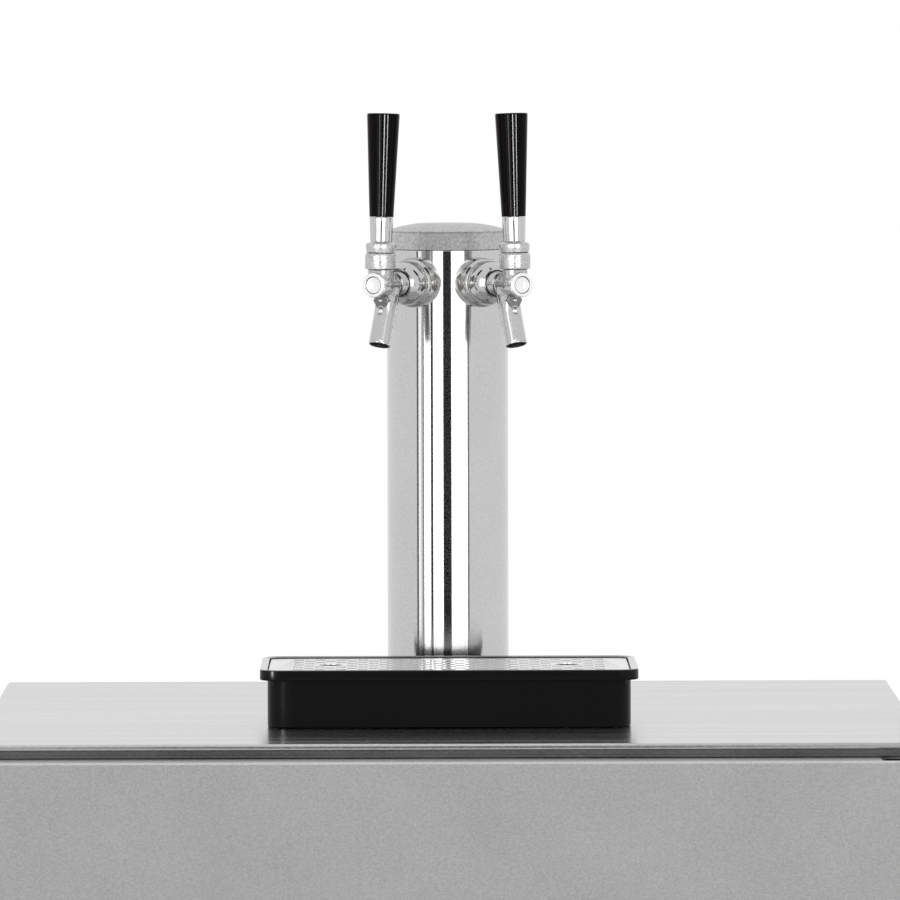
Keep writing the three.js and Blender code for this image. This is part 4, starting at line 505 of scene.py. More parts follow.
# Worktop and tower
def build_worktop():
    """Profiles are (inset, height, fillet)."""
    def corner(_):
        return TOP_CORNER

    sheet = fillet([(3.4, NOSE_Z), (0, NOSE_Z, 1.0), (0, TOP_Z, 1.8), (8, TOP_Z)])
    make_piece("worktop_sheet", *rect_mesh(TOP_RECT, corner, sheet), WORKTOP_STEEL, "cabinet",
               "brushed_steel", ["worktop"])
    # The strip below the sheet is painted shade for the gap between the worktop and the door; its
    # lower lip lies less deep.
    step_z = STRIP_Z + 2.2
    strip = fillet([
        (4, STRIP_Z), (0.9, STRIP_Z, 0.4), (0.9, step_z, 0.4), (2.2, step_z, 0.2),
        (2.2, NOSE_Z, 0.3), (4, NOSE_Z),
    ])
    make_piece("worktop_shade_strip", *rect_mesh(TOP_RECT, corner, strip), SHADE_STRIP, "cabinet",
               "brushed_steel")


def build_tower():
    """Profiles are (radius, height, fillet)."""
    place = at(0, TOWER_Y, 0)
    # The rings next to the tube's ends keep the shading of its wall straight
    tube = fillet([
        (COLUMN_R, COLUMN_FOOT, 0.4), (COLUMN_R, COLUMN_FOOT + 0.9),
        (COLUMN_R, COLUMN_TOP - 0.9), (COLUMN_R, COLUMN_TOP, 0.4),
        (COLUMN_BORE_R, COLUMN_TOP, 0.3), (COLUMN_BORE_R, COLUMN_FOOT, 0.3),
    ], closed=True, steps=3)
    make_piece("column_tube", *lathe_mesh(tube, place, 256, closed=True), POLISHED, "cabinet",
               "polished_steel", ["tower_column"])
    plug_foot = CAP_FOOT - CAP_PLUG_L
    groove_r = CAP_R - CAP_GROOVE_DEPTH
    groove_low, groove_high = CAP_GROOVE
    cap = fillet([
        (0, plug_foot), (CAP_PLUG_R, plug_foot, 0.3), (CAP_PLUG_R, CAP_FOOT, 0.2),
        (CAP_R, CAP_FOOT, 0.5), (CAP_R, groove_low - 0.2, 0.2), (groove_r, groove_low, 0.1),
        (groove_r, groove_high, 0.1), (CAP_R, groove_high + 0.2, 0.1),
        (CAP_R, CAP_EDGE_TOP, 0.4), (37.85, CAP_TOP - 2.1, 3), (27, CAP_TOP - 0.25, 1.5),
        (24, CAP_TOP, 1), (0, CAP_TOP),
    ])
    make_piece("cap_lid", *lathe_mesh(cap, place, 256), CAP_STEEL, "cabinet", "brushed_steel",
               ["tower_cap"])


# Drip tray and grate
def build_tray():
    """The profile is (inset, height, fillet): the underside, the wall, the rim, the inside."""
    def corner(z):
        return RIM_CORNER if z > TRAY_WALL_TOP - 0.1 else WALL_CORNER

    sole_z = TRAY_UNDERSIDE + 1.8
    lip = TRAY_RIM_W + 0.1
    profile = fillet([
        (12, sole_z), (8.6, sole_z, 0.4), (8.2, TRAY_UNDERSIDE, 0.3),
        (TRAY_RIM_W, TRAY_UNDERSIDE, 0.9), (TRAY_RIM_W, TRAY_WALL_TOP, 0.8),
        (0, TRAY_WALL_TOP, 1.0), (0, TRAY_TOP, 1.3), (2, TRAY_TOP, 1.0),
        (lip, TRAY_TOP - 0.9, 0.2), (lip, TRAY_LEDGE_Z, 0.25), (TRAY_INSIDE, TRAY_LEDGE_Z, 0.8),
        (TRAY_INSIDE, TRAY_FLOOR_Z, 3.5), (16, TRAY_FLOOR_Z),
    ], steps=4)
    low, high = FOOT_Z
    foot = fillet([(0, low), (FOOT_R, low, 0.6), (FOOT_R, high)]) + [(0, high)]
    feet = [lathe_mesh(foot, at(x, y, 0), 32) for x, y in product(FEET_X, FEET_Y)]
    basin = rect_mesh(TRAY_RECT, corner, profile, 10)
    tray = make_piece("tray_basin", *merged(basin, *feet), TRAY, "drip_tray", "tray_plastic",
                      ["drip_tray"])
    tray.data.materials.append(TRAY_RIM)
    for face in tray.data.polygons:
        if face.center.z > (TRAY_TOP - 0.7) * MM and face.normal.z > 0.4:
            face.material_index = 1


def grate_outlines():
    """The plate's outline, its two drain holes, and its slots in staggered columns."""
    outlines = [[(v.x, v.y) for v in rect_loop(*GRATE_RECT, GRATE_CORNER, 0, 10)]]
    for x in (-DRAIN_X, DRAIN_X):
        angles = [2 * pi * k / 48 for k in range(48)]
        outlines.append([((x + DRAIN_R * cos(a)) * MM, (GRATE_MIDDLE_Y + DRAIN_R * sin(a)) * MM)
                         for a in angles])
    for i in range(-SLOT_COLUMNS, SLOT_COLUMNS + 1):
        x = i * SLOT_PITCH[0]
        rows = 5 if i % 2 == 0 else 4
        for j in range(rows):
            y = SLOT_PITCH[1] * (j - (rows - 1) / 2)
            if abs(abs(x) - DRAIN_X) < DRAIN_CLEAR[0] and abs(y) < DRAIN_CLEAR[1]:
                continue
            points = []
            for sx, sy, first in ((1, 1, 0), (-1, 1, 90), (-1, -1, 180), (1, -1, 270)):
                cx, cy = x + SLOT_REACH[0] * sx, GRATE_MIDDLE_Y + y + SLOT_REACH[1] * sy
                for k in range(5):
                    a = radians(first + 90 * k / 4)
                    points.append(((cx + SLOT_CORNER * cos(a)) * MM,
                                   (cy + SLOT_CORNER * sin(a)) * MM))
            outlines.append(points)
    return outlines


def build_grate():
    """A flat plate with holes, filled from its outlines. The walls of its slots get a pale, dull
    copy of the steel: painted light.
    """
    z0, z1 = GRATE_Z
    curve = bpy.data.curves.new("grate_plate", "CURVE")
    curve.dimensions = "2D"
    curve.fill_mode = "BOTH"
    curve.extrude = (z1 - z0) / 2 * MM - GRATE_EDGE * MM
    curve.bevel_depth = GRATE_EDGE * MM
    curve.bevel_resolution = 2
    curve.offset = -GRATE_EDGE * MM
    for points in grate_outlines():
        spline = curve.splines.new("POLY")
        spline.points.add(len(points) - 1)
        for point, (x, y) in zip(spline.points, points):
            point.co = (x, y, 0, 1)
        spline.use_cyclic_u = True
    maker = bpy.data.objects.new("maker", curve)
    bpy.context.scene.collection.objects.link(maker)
    bpy.context.view_layer.update()
    graph = bpy.context.evaluated_depsgraph_get()
    data = bpy.data.meshes.new_from_object(maker.evaluated_get(graph))
    bpy.data.objects.remove(maker)
    mesh = bmesh.new()
    mesh.from_mesh(data)
    bmesh.ops.remove_doubles(mesh, verts=mesh.verts[:], dist=0.000002)
    verts = [v.co + Vector((0, 0, (z0 + z1) / 2 * MM)) for v in mesh.verts]
    faces = [tuple(v.index for v in f.verts) for f in mesh.faces]
    mesh.free()
    grate = make_piece("grate_plate", verts, faces, GRATE_STEEL, "drip_grate", "polished_steel",
                       ["drip_grate"], angle=50)
    grate.data.materials.append(GRATE_WALL_LIGHT)
    # The slot walls, but not the drain holes' walls, get the painted light.
    for face in grate.data.polygons:
        spot = face.center / MM
        from_drain = hypot(abs(spot.x) - DRAIN_X, spot.y - GRATE_MIDDLE_Y)
        if abs(face.normal.z) < 0.9 and from_drain > DRAIN_R + 1.4:
            face.material_index = 1


# Cast body of a faucet
def smooth_min(a, b, k):
    """The smaller of two distances, blended over a width k."""
    h = np.clip(0.5 + 0.5 * (b - a) / k, 0, 1)
    return b * (1 - h) + a * h - k * h * (1 - h)


def rounded(across, along, edge):
    """Joins a distance from a wall and one from an end, with a round edge between them."""
    a, b = across + edge, along + edge
    return np.hypot(np.maximum(a, 0), np.maximum(b, 0)) + np.minimum(np.maximum(a, b), 0) - edge


def outline_distance(x, y, corners):
    """Distance of points from a closed outline, negative inside."""
    nearest = np.full(x.shape, 1e9)
    inside = np.zeros(x.shape, bool)
    count = len(corners)
    for i in range(count):
        ax, ay = corners[i]
        bx, by = corners[(i + 1) % count]
        dx, dy = bx - ax, by - ay
        t = np.clip(((x - ax) * dx + (y - ay) * dy) / (dx * dx + dy * dy), 0, 1)
        nearest = np.minimum(nearest, np.hypot(x - ax - t * dx, y - ay - t * dy))
        crosses = (ay > y) != (by > y)
        with np.errstate(divide="ignore", invalid="ignore"):
            edge = ax + (y - ay) * dx / dy if dy else np.full(x.shape, np.inf)
        inside ^= crosses & (x < edge)
    return np.where(inside, -nearest, nearest)


# The cast body, in millimetres from the column's axis (out) and from the shank's (up)
WEB = [(88.56, -4.8), (100.6, -36), (107.5, -28.8), (108.6, -11), (117.2, -4), (117.2, 12.4),
       (103.7, 12.4)]
SPOUT = (95.6, 113, -50)  # out at its root, then out and up at its mouth
SPOUT_ROOT_R, SPOUT_FLARE = 8.8, 0.2
BORE_ROOT_R, BORE_FLARE = 5.6, 2.4
BARREL_BACK, BARREL_FRONT = 75, 119
BARREL = ([74, 79, 82.5, 85.5, 88.8, 92, 95.5, 98.6, 104, 120],
          [10.6, 10.6, 10.5, 9.6, 8.9, 9.2, 9.9, 10.3, 10.4, 10.4])  # out, radius
BOSS_R = 10.4
CAST_BOX = ((-14, -54, 73), (14, 15, 121.5))
CAST_STEP = 0.7


def along_spout(p):
    """How far points lie along the spout and off its axis, and the spout's length."""
    dx, dy = SPOUT[1] - SPOUT[0], SPOUT[2]
    length = hypot(dx, dy)
    dx, dy = dx / length, dy / length
    out = p[:, 2] - SPOUT[0]
    t = out * dx + p[:, 1] * dy
    return t, np.hypot(p[:, 0], out * dy - p[:, 1] * dx), length


def cast_body(p):
    """Distance of points (side, up, out) from the faucet's cast body, negative inside."""
    side, up, out = p[:, 0], p[:, 1], p[:, 2]
    radius = np.interp(out, *BARREL)
    barrel = rounded(np.hypot(side, up) - radius,
                     np.maximum(BARREL_BACK - out, out - BARREL_FRONT), 0.6)
    boss = rounded(
        np.maximum(np.hypot(side, out - PIVOT_OUT) - BOSS_R, out - BARREL_FRONT),
        np.maximum(-4 - up, up - 12.7), 0.5,
    )
    t, off, length = along_spout(p)
    ahead = np.clip(t / length, 0, 1)
    spout = rounded(off - (SPOUT_ROOT_R + SPOUT_FLARE * ahead), np.maximum(t - length, -t), 0.45)
    web = rounded(outline_distance(out, up, WEB), np.abs(side) - 6.5, 1.4)
    bore = np.maximum(off - (BORE_ROOT_R + BORE_FLARE * ahead), 6 - t)
    shape = smooth_min(smooth_min(barrel, boss, 1.6), smooth_min(spout, web, 2.2), 2.4)
    return -smooth_min(-shape, bore, 0.5)


def slope(field, p):
    """The gradient of a distance at points."""
    step = 0.02
    made = np.zeros_like(p)
    for axis in range(3):
        move = np.zeros(3)
        move[axis] = step
        made[:, axis] = (field(p + move) - field(p - move)) / (2 * step)
    return made


def net_mesh(field, low, high, step):
    """The surface where a distance is zero: one point per grid cell it passes, drawn onto it."""
    low, high = np.array(low, float), np.array(high, float)
    shape = np.ceil((high - low) / step).astype(int) + 1
    grid = np.stack(np.meshgrid(*[low[i] + step * np.arange(shape[i]) for i in range(3)],
                                indexing="ij"), -1)
    inside = (field(grid.reshape(-1, 3)) < 0).reshape(shape)
    total = np.zeros(shape - 1, int)
    for i, j, k in product((0, 1), repeat=3):
        total += inside[i:shape[0] - 1 + i, j:shape[1] - 1 + j, k:shape[2] - 1 + k]
    active = (total > 0) & (total < 8)
    index = np.full(active.shape, -1)
    index[active] = np.arange(active.sum())
    points = low + (np.argwhere(active) + 0.5) * step
    for _ in range(8):
        grad = slope(field, points)
        size = np.maximum((grad ** 2).sum(1), 0.05)
        move = -(field(points) / size)[:, None] * grad
        reach = np.linalg.norm(move, axis=1)
        move *= np.minimum(1, 0.4 * step / np.maximum(reach, 1e-9))[:, None]
        points += move
    faces = []
    for axis in range(3):
        first = [slice(None)] * 3
        second = [slice(None)] * 3
        first[axis], second[axis] = slice(0, -1), slice(1, None)
        change = inside[tuple(first)] != inside[tuple(second)]
        b, c = (axis + 1) % 3, (axis + 2) % 3
        for cell in np.argwhere(change):
            if min(cell[b], cell[c]) < 1:
                continue
            quad = []
            for db, dc in ((-1, -1), (0, -1), (0, 0), (-1, 0)):
                corner = cell.copy()
                corner[b] += db
                corner[c] += dc
                quad.append(int(index[tuple(corner)]))
            if min(quad) < 0:
                continue
            faces.append(tuple(quad if inside[tuple(cell)] else reversed(quad)))
    return points, faces


def bore_faces(points, faces):
    """Marks the faces that line the spout's bore, which get near-black painted shade."""
    middles = np.array([points[list(face)].mean(0) for face in faces])
    t, off, length = along_spout(middles)
    return (t > 5) & (off < BORE_ROOT_R + 0.4 + BORE_FLARE * t / length) & (t < length - 0.15)


# Faucets
def ball_mesh(radius, middle, place):
    rings = 16
    profile = [(radius * sin(pi * k / rings), middle - radius * cos(pi * k / rings))
               for k in range(rings + 1)]
    profile[0], profile[-1] = (0, middle - radius), (0, middle + radius)
    return lathe_mesh(profile, place, 32)


def arc(radius, middle, start, end, count):
    """Points on a circle round a height on the axis, from one angle to another, in degrees."""
    return [(radius * cos(radians(a)), middle + radius * sin(radians(a)))
            for a in np.linspace(start, end, count)]


def smooth_profile(points):
    """More points along a smooth curve through the given ones."""
    steps = 6
    out = []
    for i in range(len(points) - 1):
        p0 = Vector(points[max(i - 1, 0)])
        p1, p2 = Vector(points[i]), Vector(points[i + 1])
        p3 = Vector(points[min(i + 2, len(points) - 1)])
        for k in range(steps):
            t = k / steps
            out.append(tuple(0.5 * (
                2 * p1 + (p2 - p0) * t + (2 * p0 - 5 * p1 + 4 * p2 - p3) * t * t
                + (3 * p1 - p0 - 3 * p2 + p3) * t ** 3
            )))
    return out + [tuple(points[-1])]


def paint_shade(piece, place, chosen, material):
    """Paints shade: gives another, darker material to the faces whose radius and height round an
    axis are chosen.
    """
    piece.data.materials.append(material)
    back = place.inverted()
    for face in piece.data.polygons:
        spot = back @ face.center / MM
        if chosen(hypot(spot.x, spot.y), spot.z):
            face.material_index = 1


def faucet_places(way):
    """Places along the shank, up through the bonnet, and along the tap as it leans at rest."""
    turn = radians(SPREAD)
    out = Vector((way * sin(turn), -cos(turn), 0))
    up = Vector((0, 0, 1))
    side = up.cross(out)
    origin = Vector((0, TOWER_Y, SHANK_Z)) * MM
    foot = out * PIVOT_OUT * MM + origin
    lean = radians(LEAN)
    rise = (up * cos(lean) - out * sin(lean)).normalized()
    along = axes(side, up, out, origin)
    upright = axes(side, out * -1, up, foot)
    pivot = axes(side, rise.cross(side), rise, foot + up * PIVOT_H * MM)
    return along, upright, pivot


def build_shank(name, along):
    """The shank with its bored collar, and inside the column its lock nut and elbow."""
    collar = fillet([
        (0, TAIL_BACK), (TAIL_R, TAIL_BACK, 0.5), (TAIL_R, SHANK_BACK),
        (SHANK_R, SHANK_BACK, 0.4), (SHANK_R, COLLAR_BACK), (COLLAR_R, COLLAR_BACK, 0.3),
        (COLLAR_R, COLLAR_FRONT - 7.2, 1.5), (COLLAR_R - 0.55, COLLAR_FRONT - 3.2, 3),
        (COLLAR_R - 2.35, COLLAR_FRONT, 0.4), (STEM_R, COLLAR_FRONT), (STEM_R, STEM_FRONT, 0.4),
        (STEM_BORE_R, STEM_FRONT, 0.4), (STEM_BORE_R, STEM_BORE_BACK),
        (LINE_BORE_R, STEM_BORE_BACK), (LINE_BORE_R, SHANK_BACK), (0, SHANK_BACK),
    ], steps=4)
    back, front = LOCK_NUT_OUT
    lock_nut = fillet([(0, back), (LOCK_NUT_R, back, 0.5), (LOCK_NUT_R, front, 0.5), (0, front)],
                      steps=2)
    elbow = fillet([
        (0, TAIL_R), (TAIL_R, TAIL_R, 3), (TAIL_R, -ELBOW_DROP, 0.4),
        (LINE_BORE_R, -ELBOW_DROP, 0.4), (LINE_BORE_R, -4), (0, -4),
    ], steps=4)
    bend = along @ Matrix.Translation((0, 0, ELBOW_OUT * MM)) @ Matrix.Rotation(-pi / 2, 4, "X")
    shank = merged(lathe_mesh(collar, along, 128), lathe_mesh(lock_nut, along, 6),
                   lathe_mesh(elbow, bend, 48))
    make_piece(f"{name}_shank_collar", *shank, COLLAR, "cabinet", "chrome", [f"{name}_shank"])


def build_nut(name, along):
    """The coupling nut: a lip, a groove painted near-black as shade, and a dome with two spanner
    holes.
    """
    groove_r, groove_start, groove_end = NUT_R - 0.7, NUT_BACK + 2.7, NUT_BACK + 3.5
    lip = fillet([
        (17, NUT_BACK), (NUT_R, NUT_BACK + 1, 0.6), (NUT_R, groove_start, 0.3),
        (groove_r, groove_start + 0.1, 0.1), (groove_r, groove_end - 0.1, 0.1),
        (NUT_R, groove_end),
    ], steps=3)
    dome = smooth_profile([
        (NUT_R * r, NUT_BACK + NUT_L * h)
        for r, h in ((1, 0.2), (1, 0.3), (0.96, 0.55), (0.85, 0.8), (0.69, 1))
    ])
    front = fillet([(12.7, 82), (11.2, 82, 0.3), (11.2, 79), (13, 79)])[1:]
    profile = lip + dome + front + [(13, NUT_BACK)]
    nut = make_piece(f"{name}_nut_shell", *lathe_mesh(profile, along, 128, closed=True), CHROME,
                     "cabinet", "chrome", [f"{name}_coupling_nut"])
    middle = Matrix.Translation((0, 0, (NUT_BACK + NUT_L * 0.45) * MM))
    holes = []
    for swing in (-0.08 * pi, 0.92 * pi):
        place = along @ middle @ Matrix.Rotation(swing, 4, "Z") @ Matrix.Rotation(pi / 2, 4, "Y")
        holes.append(lathe_mesh([(0, 15.6), (2.2, 15.6), (2.2, 20), (0, 20)], place, 24))
    cut(nut, *holes)
    # The groove gets near-black painted shade.
    paint_shade(nut, along, lambda r, h: r < NUT_R - 0.3 and groove_start < h < groove_end, SHADE_BLACK)


def build_cast_body(name, along, points, faces):
    """The body with its spout, and below its front the vent plug, the ball and the stop."""
    verts = [along @ (Vector(p) * MM) for p in points]
    body = make_piece(f"{name}_cast_body", verts, faces, CAST, "cabinet", "chrome",
                      [f"{name}_faucet_body"], angle=60)
    # The faces inside the spout's bore get near-black painted shade.
    body.data.materials.append(SHADE_BLACK)
    in_bore = bore_faces(points, faces).astype(np.int32)
    body.data.polygons.foreach_set("material_index", in_bore)
    vent = along @ Matrix.Translation((0, -VENT_DROP * MM, 0))
    plug = fillet([(0, 96), (7.2, 96), (7.2, VENT_OUT, 0.5), (0, VENT_OUT)], steps=2)
    # The hex plug is a darker chrome: painted shade under the body's front.
    make_piece(f"{name}_hex_boss", *lathe_mesh(plug, vent, 6), SHADED_CHROME, "cabinet", "chrome",
               angle=25)
    make_piece(f"{name}_vent_ball", *ball_mesh(1.9, VENT_OUT, vent), CHROME, "cabinet", "chrome")
    stop = along @ Matrix.Translation((0, -STOP_DROP * MM, 0))
    make_piece(f"{name}_stop_nub", *ball_mesh(3.8, VENT_OUT, stop), CHROME, "cabinet", "chrome")


def build_front_cap(name, along):
    """The round cap on the body's front, with a ring of painted shade at the edge of its dish."""
    dish = DISC_FRONT - 0.8
    profile = fillet([
        (0, DISC_STEM_BACK), (DISC_STEM_R, DISC_STEM_BACK), (DISC_STEM_R, DISC_BACK),
        (DISC_R, DISC_BACK, 0.3), (DISC_R, DISC_FRONT, 1.1), (7.4, DISC_FRONT, 0.3),
        (6.4, dish, 0.5), (3.5, dish, 3), (0, dish - 0.8),
    ], steps=4)
    # The cap takes the bright chrome: painted highlight.
    disc = make_piece(f"{name}_cap_disc", *lathe_mesh(profile, along, 96), HIGHLIGHT_CHROME, "cabinet",
                      "chrome", [f"{name}_face_cap"])
    paint_shade(disc, along, lambda r, h: h > dish - 0.5 and 6.5 < r < 7.35, SHADED_CHROME)


def build_bonnet(name, upright):
    """The bonnet over the body, with a slot that the lever swings in."""
    crown = arc(CROWN_R, PIVOT_H, 46, 90, 12)
    crown[-1] = (0, PIVOT_H + CROWN_R)
    wall = fillet([
        (0, PIVOT_H), (BONNET_R, PIVOT_H, 0.8), (BONNET_R, BONNET_WALL_TOP, 0.9), crown[0],
    ], steps=4)
    bonnet = make_piece(f"{name}_bonnet_ring", *lathe_mesh(wall + crown[1:], upright, 96), SATIN,
                        "cabinet", "chrome", [f"{name}_bonnet"])
    cut(bonnet, box_mesh(*LEVER_SLOT, upright))


def build_tap(name, pivot):
    """The lever with its tip, ball and collar, then the ferrule and the handle."""
    body = f"{name}_tap"
    tip = arc(LEVER_TIP_R, -PIVOT_H, -90, 25, 8)
    tip[0] = (0, -PIVOT_H - LEVER_TIP_R)
    ball = arc(LEVER_BALL_R, 0, -58, 58, 14)
    under = arc(CROWN_R + 0.5, 0, 80.4, 49.04, 10)
    collar = fillet([
        under[-1], (LEVER_COLLAR_R, LEVER_COLLAR_TOP - 4.8, 0.5),
        (LEVER_COLLAR_R, LEVER_COLLAR_TOP - 1.6, 0.6),
        (LEVER_COLLAR_R - 2.6, LEVER_COLLAR_TOP, 0.8), (STUD_R, LEVER_COLLAR_TOP),
    ], steps=4)
    stud = [(STUD_R, STUD_TOP), (0, STUD_TOP)]
    lever = tip + [(2.5, -7)] + ball + under + collar[1:] + stud
    make_piece(f"{name}_lever_collar", *lathe_mesh(lever, pivot, 96), SATIN, body, "chrome",
               [f"{name}_lever"])
    ferrule = fillet([
        (HANDLE_BORE_R, FERRULE_FOOT), (9.05, FERRULE_FOOT, 0.5), (9.9, FERRULE_TOP, 0.5),
        (HANDLE_BORE_R, FERRULE_TOP),
    ], steps=4)
    make_piece(f"{name}_ferrule_sleeve", *lathe_mesh(ferrule, pivot, 96, closed=True), CHROME,
               body, "chrome", [f"{name}_ferrule"])
    bore_end = STUD_TOP + 0.4
    grip = fillet([
        (0, bore_end), (HANDLE_BORE_R, bore_end), (HANDLE_BORE_R, HANDLE_FOOT),
        (10, HANDLE_FOOT, 0.5), (HANDLE_R, HANDLE_TOP - 2.3, 40), (HANDLE_R, HANDLE_TOP, 2.4),
        (0, HANDLE_TOP),
    ], steps=8)
    make_piece(f"{name}_handle_grip", *lathe_mesh(grip, pivot, 128), HANDLE, body,
               "tap_handle_plastic", [f"{name}_tap_handle"])


def build_faucets():
    points, faces = net_mesh(cast_body, *CAST_BOX, CAST_STEP)
    for name, way in (("left", -1), ("right", 1)):
        along, upright, pivot = faucet_places(way)
        build_shank(name, along)
        build_nut(name, along)
        build_cast_body(name, along, points, faces)
        build_front_cap(name, along)
        build_bonnet(name, upright)
        build_tap(name, pivot)


# Nodes that keep their own shape
def soften_nodes():
    for name in ("door_skin", "cabinet_shell", "kick_grille", "rear_grille", "door_liner",
                 "inner_liner", "evaporator_cover"):
        soften(name, 0.5, panel=True)
    for name in ("gas_cylinder", "gas_regulator", "compressor", "left_keg_coupler",
                 "right_keg_coupler", "left_coupler_lever", "right_coupler_lever",
                 "cylinder_handwheel", "thermostat_knob", "door_lock", "door_handle",
                 "tower_flange", "power_inlet", "upper_hinge", "lower_hinge"):
        soften(name, 0.5)
    for name in ("condenser", "condenser_fan", "left_gas_hose", "right_gas_hose",
                 "left_beer_line", "right_beer_line", "left_faucet_shaft", "right_faucet_shaft"):
        smooth(NODES[name].data, 50)
    for name in ("front_left_leg", "front_right_leg", "rear_left_leg", "rear_right_leg"):
        soften(name, 0.8)


# Floor, light and camera
def stage_plane(name, corners, material, hidden=True):
    """A plane of the set. A hidden one shows in reflections only."""
    data = bpy.data.meshes.new(name)
    data.from_pydata(corners, [], [(0, 1, 2, 3)])
    data.materials.append(material)
    plane = bpy.data.objects.new(name, data)
    bpy.context.scene.collection.objects.link(plane)
    if hidden:
        plane.visible_camera = False
        plane.visible_diffuse = False
        plane.visible_shadow = False
        plane.visible_transmission = False
    return plane


def any_of(tree, names):
    """1 for rays of any of the named kinds."""
    path = node(tree, "ShaderNodeLightPath")
    total = path.outputs[names[0]]
    for name in names[1:]:
        more = node(tree, "ShaderNodeMath", operation="MAXIMUM")
        wire(tree, total, more.inputs[0])
        wire(tree, path.outputs[name], more.inputs[1])
        total = more.outputs[0]
    return total


SEEN = ("Is Camera Ray", "Is Glossy Ray", "Is Transmission Ray")


def make_world():
    """White where it is seen or reflected, and softer as a light."""
    world = bpy.data.worlds.new("world")
    bpy.context.scene.world = world
    world.use_nodes = True
    tree = world.node_tree
    tree.nodes.clear()
    out = node(tree, "ShaderNodeOutputWorld")
    soft = node(tree, "ShaderNodeBackground", in_Color=(1, 1, 1, 1), in_Strength=0.75)
    bright = node(tree, "ShaderNodeBackground", in_Color=(1, 1, 1, 1), in_Strength=1.0)
    mix = node(tree, "ShaderNodeMixShader")
    wire(tree, any_of(tree, SEEN), mix.inputs[0])
    wire(tree, soft.outputs[0], mix.inputs[1])
    wire(tree, bright.outputs[0], mix.inputs[2])
    wire(tree, mix.outputs[0], out.inputs["Surface"])


def make_floor():
    """A pale floor that runs out into the white of the world."""
    material = surface("floor_pale", grey(0.76), grey(0.80), (0.55, 0.7), (3, 3, 3), bump=0.0)
    tree = material.node_tree
    shader = tree.nodes["Principled BSDF"]
    out = tree.nodes["Material Output"]
    glow = node(tree, "ShaderNodeEmission", in_Color=(1, 1, 1, 1), in_Strength=1.0)
    coords = node(tree, "ShaderNodeTexCoord").outputs["Object"]
    length = node(tree, "ShaderNodeVectorMath", operation="LENGTH")
    wire(tree, coords, length.inputs[0])
    far = node(tree, "ShaderNodeMapRange", interpolation_type="SMOOTHSTEP")
    far.inputs["From Min"].default_value = 0.9
    far.inputs["From Max"].default_value = 3.0
    wire(tree, length.outputs["Value"], far.inputs["Value"])
    seen = node(tree, "ShaderNodeMath", operation="MULTIPLY")
    wire(tree, far.outputs["Result"], seen.inputs[0])
    wire(tree, any_of(tree, SEEN), seen.inputs[1])
    mix = node(tree, "ShaderNodeMixShader")
    wire(tree, seen.outputs[0], mix.inputs[0])
    wire(tree, shader.outputs[0], mix.inputs[1])
    wire(tree, glow.outputs[0], mix.inputs[2])
    wire(tree, mix.outputs[0], out.inputs["Surface"])
    corners = [(x * FLOOR_HALF, y * FLOOR_HALF, 0) for x, y in ((-1, -1), (1, -1), (1, 1), (-1, 1))]
    stage_plane("floor", corners, material, hidden=False)


def from_tower(angle, distance, z):
    """A place at an angle round the tower, where 0 is straight ahead and 90 is to the right."""
    return Vector((sin(radians(angle)) * distance,
                   TOWER_Y * MM - cos(radians(angle)) * distance, z))


def linked(name, pieces, state="INCLUDE"):
    """Pieces that a lamp alone lights, or alone leaves out."""
    group = bpy.data.collections.new(name)
    for piece in pieces:
        group.objects.link(piece)
    for row in group.collection_objects:
        row.light_linking.link_state = state
    return group


def panel_light(name, start, end, radiance, low, high, group, distance=LIGHT_DISTANCE,
                diffuse=True):
    """A lamp that fills the angles from start to end round the tower, for a group of pieces."""
    width = 2 * distance * tan(radians((end - start) / 2))
    height = high - low
    data = bpy.data.lights.new(name, "AREA")
    data.shape = "RECTANGLE"
    data.size = width
    data.size_y = height
    data.energy = radiance * pi * width * height
    lamp = bpy.data.objects.new(name, data)
    bpy.context.scene.collection.objects.link(lamp)
    middle = from_tower((start + end) / 2, distance, (low + high) / 2)
    aim = from_tower(0, 0, (low + high) / 2) - middle
    turned = aim.to_track_quat("-Z", "Y").to_matrix().to_4x4()
    lamp.matrix_world = Matrix.Translation(middle) @ turned
    lamp.visible_camera = False
    lamp.visible_diffuse = diffuse
    lamp.light_linking.receiver_collection = group


def flag(name, start, end, strength, low=-1.5, high=1.7):
    """A screen of even brightness between two angles round the tower, behind the lamps."""
    material = bpy.data.materials.new(name)
    material.use_nodes = True
    tree = material.node_tree
    tree.nodes.clear()
    glow = node(tree, "ShaderNodeEmission", in_Color=(strength, strength, strength, 1),
                in_Strength=1.0)
    out = node(tree, "ShaderNodeOutputMaterial")
    wire(tree, glow.outputs[0], out.inputs["Surface"])
    a, b = (from_tower(angle, FLAG_DISTANCE, 0) for angle in (start, end))
    stage_plane(name, [(a.x, a.y, low), (b.x, b.y, low), (b.x, b.y, high), (a.x, a.y, high)],
                material)


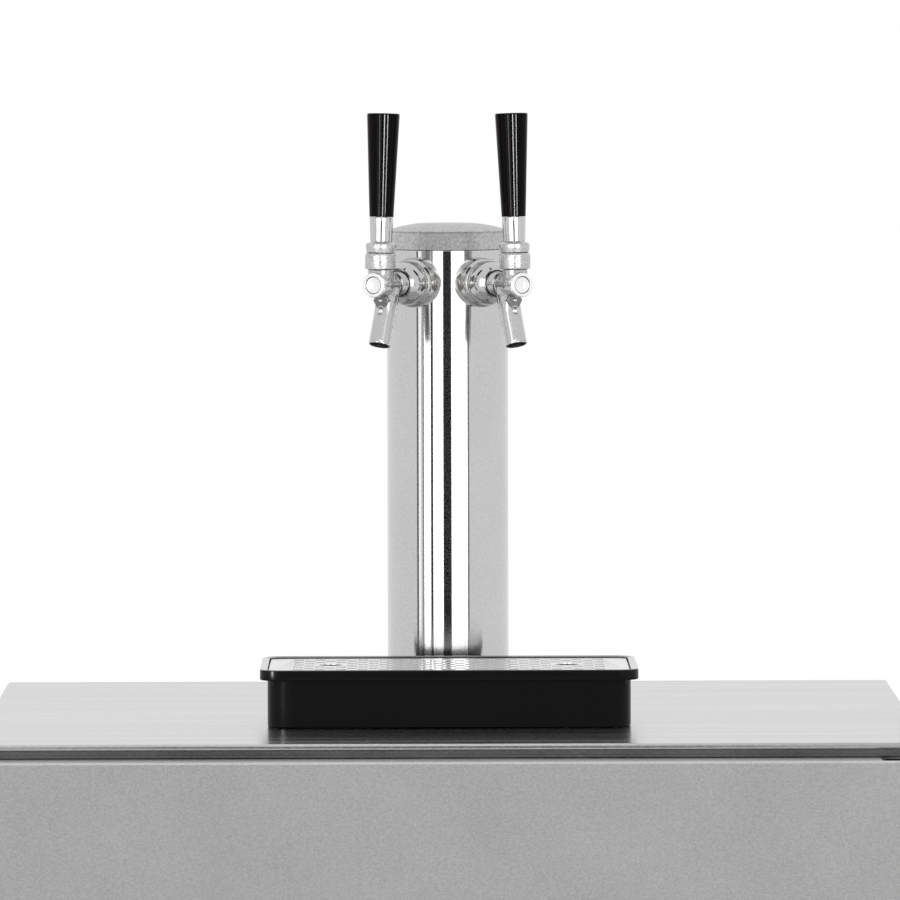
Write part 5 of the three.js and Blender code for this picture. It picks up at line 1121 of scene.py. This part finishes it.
def make_camera():
    """The camera as fitted to the photograph."""
    data = bpy.data.cameras.new("camera")
    data.lens = 338.83
    data.sensor_width = 36
    data.clip_start = 0.1
    data.clip_end = 100
    camera = bpy.data.objects.new("camera", data)
    bpy.context.scene.collection.objects.link(camera)
    yaw, pitch, roll = radians(0.210), radians(3.157), radians(-0.136)
    ahead = Vector((sin(yaw) * cos(pitch), cos(yaw) * cos(pitch), -sin(pitch)))
    right = Vector((cos(yaw), -sin(yaw), 0))
    up = right.cross(ahead)
    eye = Vector((-0.0241, -6.9794, 1.5189))
    turned_right = right * cos(roll) + up * sin(roll)
    turned_up = up * cos(roll) - right * sin(roll)
    camera.matrix_world = axes(turned_right, turned_up, -ahead, eye)
    bpy.context.scene.camera = camera


def make_lights():
    """Broad lamps for the chrome, and strips that put a line of light on one kind of piece."""
    objects = bpy.data.objects
    left_out = linked("satin_parts", [
        NODES["door_skin"], NODES["cabinet_shell"], NODES["kick_grille"], NODES["door_handle"],
        objects["cap_lid"], objects["tray_basin"], objects["worktop_sheet"],
        objects["worktop_shade_strip"],
    ], "EXCLUDE")
    basin = linked("basin", [objects["tray_basin"]])
    grips = linked("grips", [objects["left_handle_grip"], objects["right_handle_grip"]])
    door = linked("door", [NODES["door_skin"]])
    for name, start, end, radiance in (
        ("light_right", 7.0, 37.4, 2.3),
        ("light_left_inner", -27.4, -8.8, 2.6),
        ("light_left_outer", -45.5, -32.4, 2.4),
    ):
        panel_light(name, start, end, radiance, -0.6, 4.5, left_out)
    for name, start, end, radiance in (
        ("strip_right_near", 6, 11, 200),
        ("strip_right_far", 30.5, 35, 160),
        ("strip_left", -26, -23, 60),
    ):
        panel_light(name, start, end, radiance, 0.2, 2.4, grips, diffuse=False)
    panel_light("strip_door", -30, 30, 4, 3.0, 4.5, door, distance=3, diffuse=False)
    panel_light("strip_tray", -44, -40, 200, 0.2, 2.4, basin, diffuse=False)


def make_flags():
    """Screens between and beside the lamps, for the dark and light bands in the column."""
    flag("flag_camera", -8.8, 7.0, 0.0, low=-0.6, high=2.25)
    flag("flag_left_gap", -32.9, -28.1, 0.0, low=-0.6, high=2.25)
    flag("flag_right", 37.6, 41.0, 0.25)
    flag("flag_left_edge", -48.8, -45.6, 0.35)
    flag("flag_left_glow", -57, -52, 1.7)
    flag("flag_left_far", -61, -57.4, 0.12)


# All of it
for part in frame["record"]["subparts"]:
    dress(part["node"], BY_SLOT[part["material_slot"]])
build_worktop()
build_tower()
build_tray()
build_grate()
build_faucets()
soften_nodes()
make_camera()
make_world()
make_floor()
make_lights()
make_flags()

view = bpy.context.scene.view_settings
view.view_transform = "Standard"
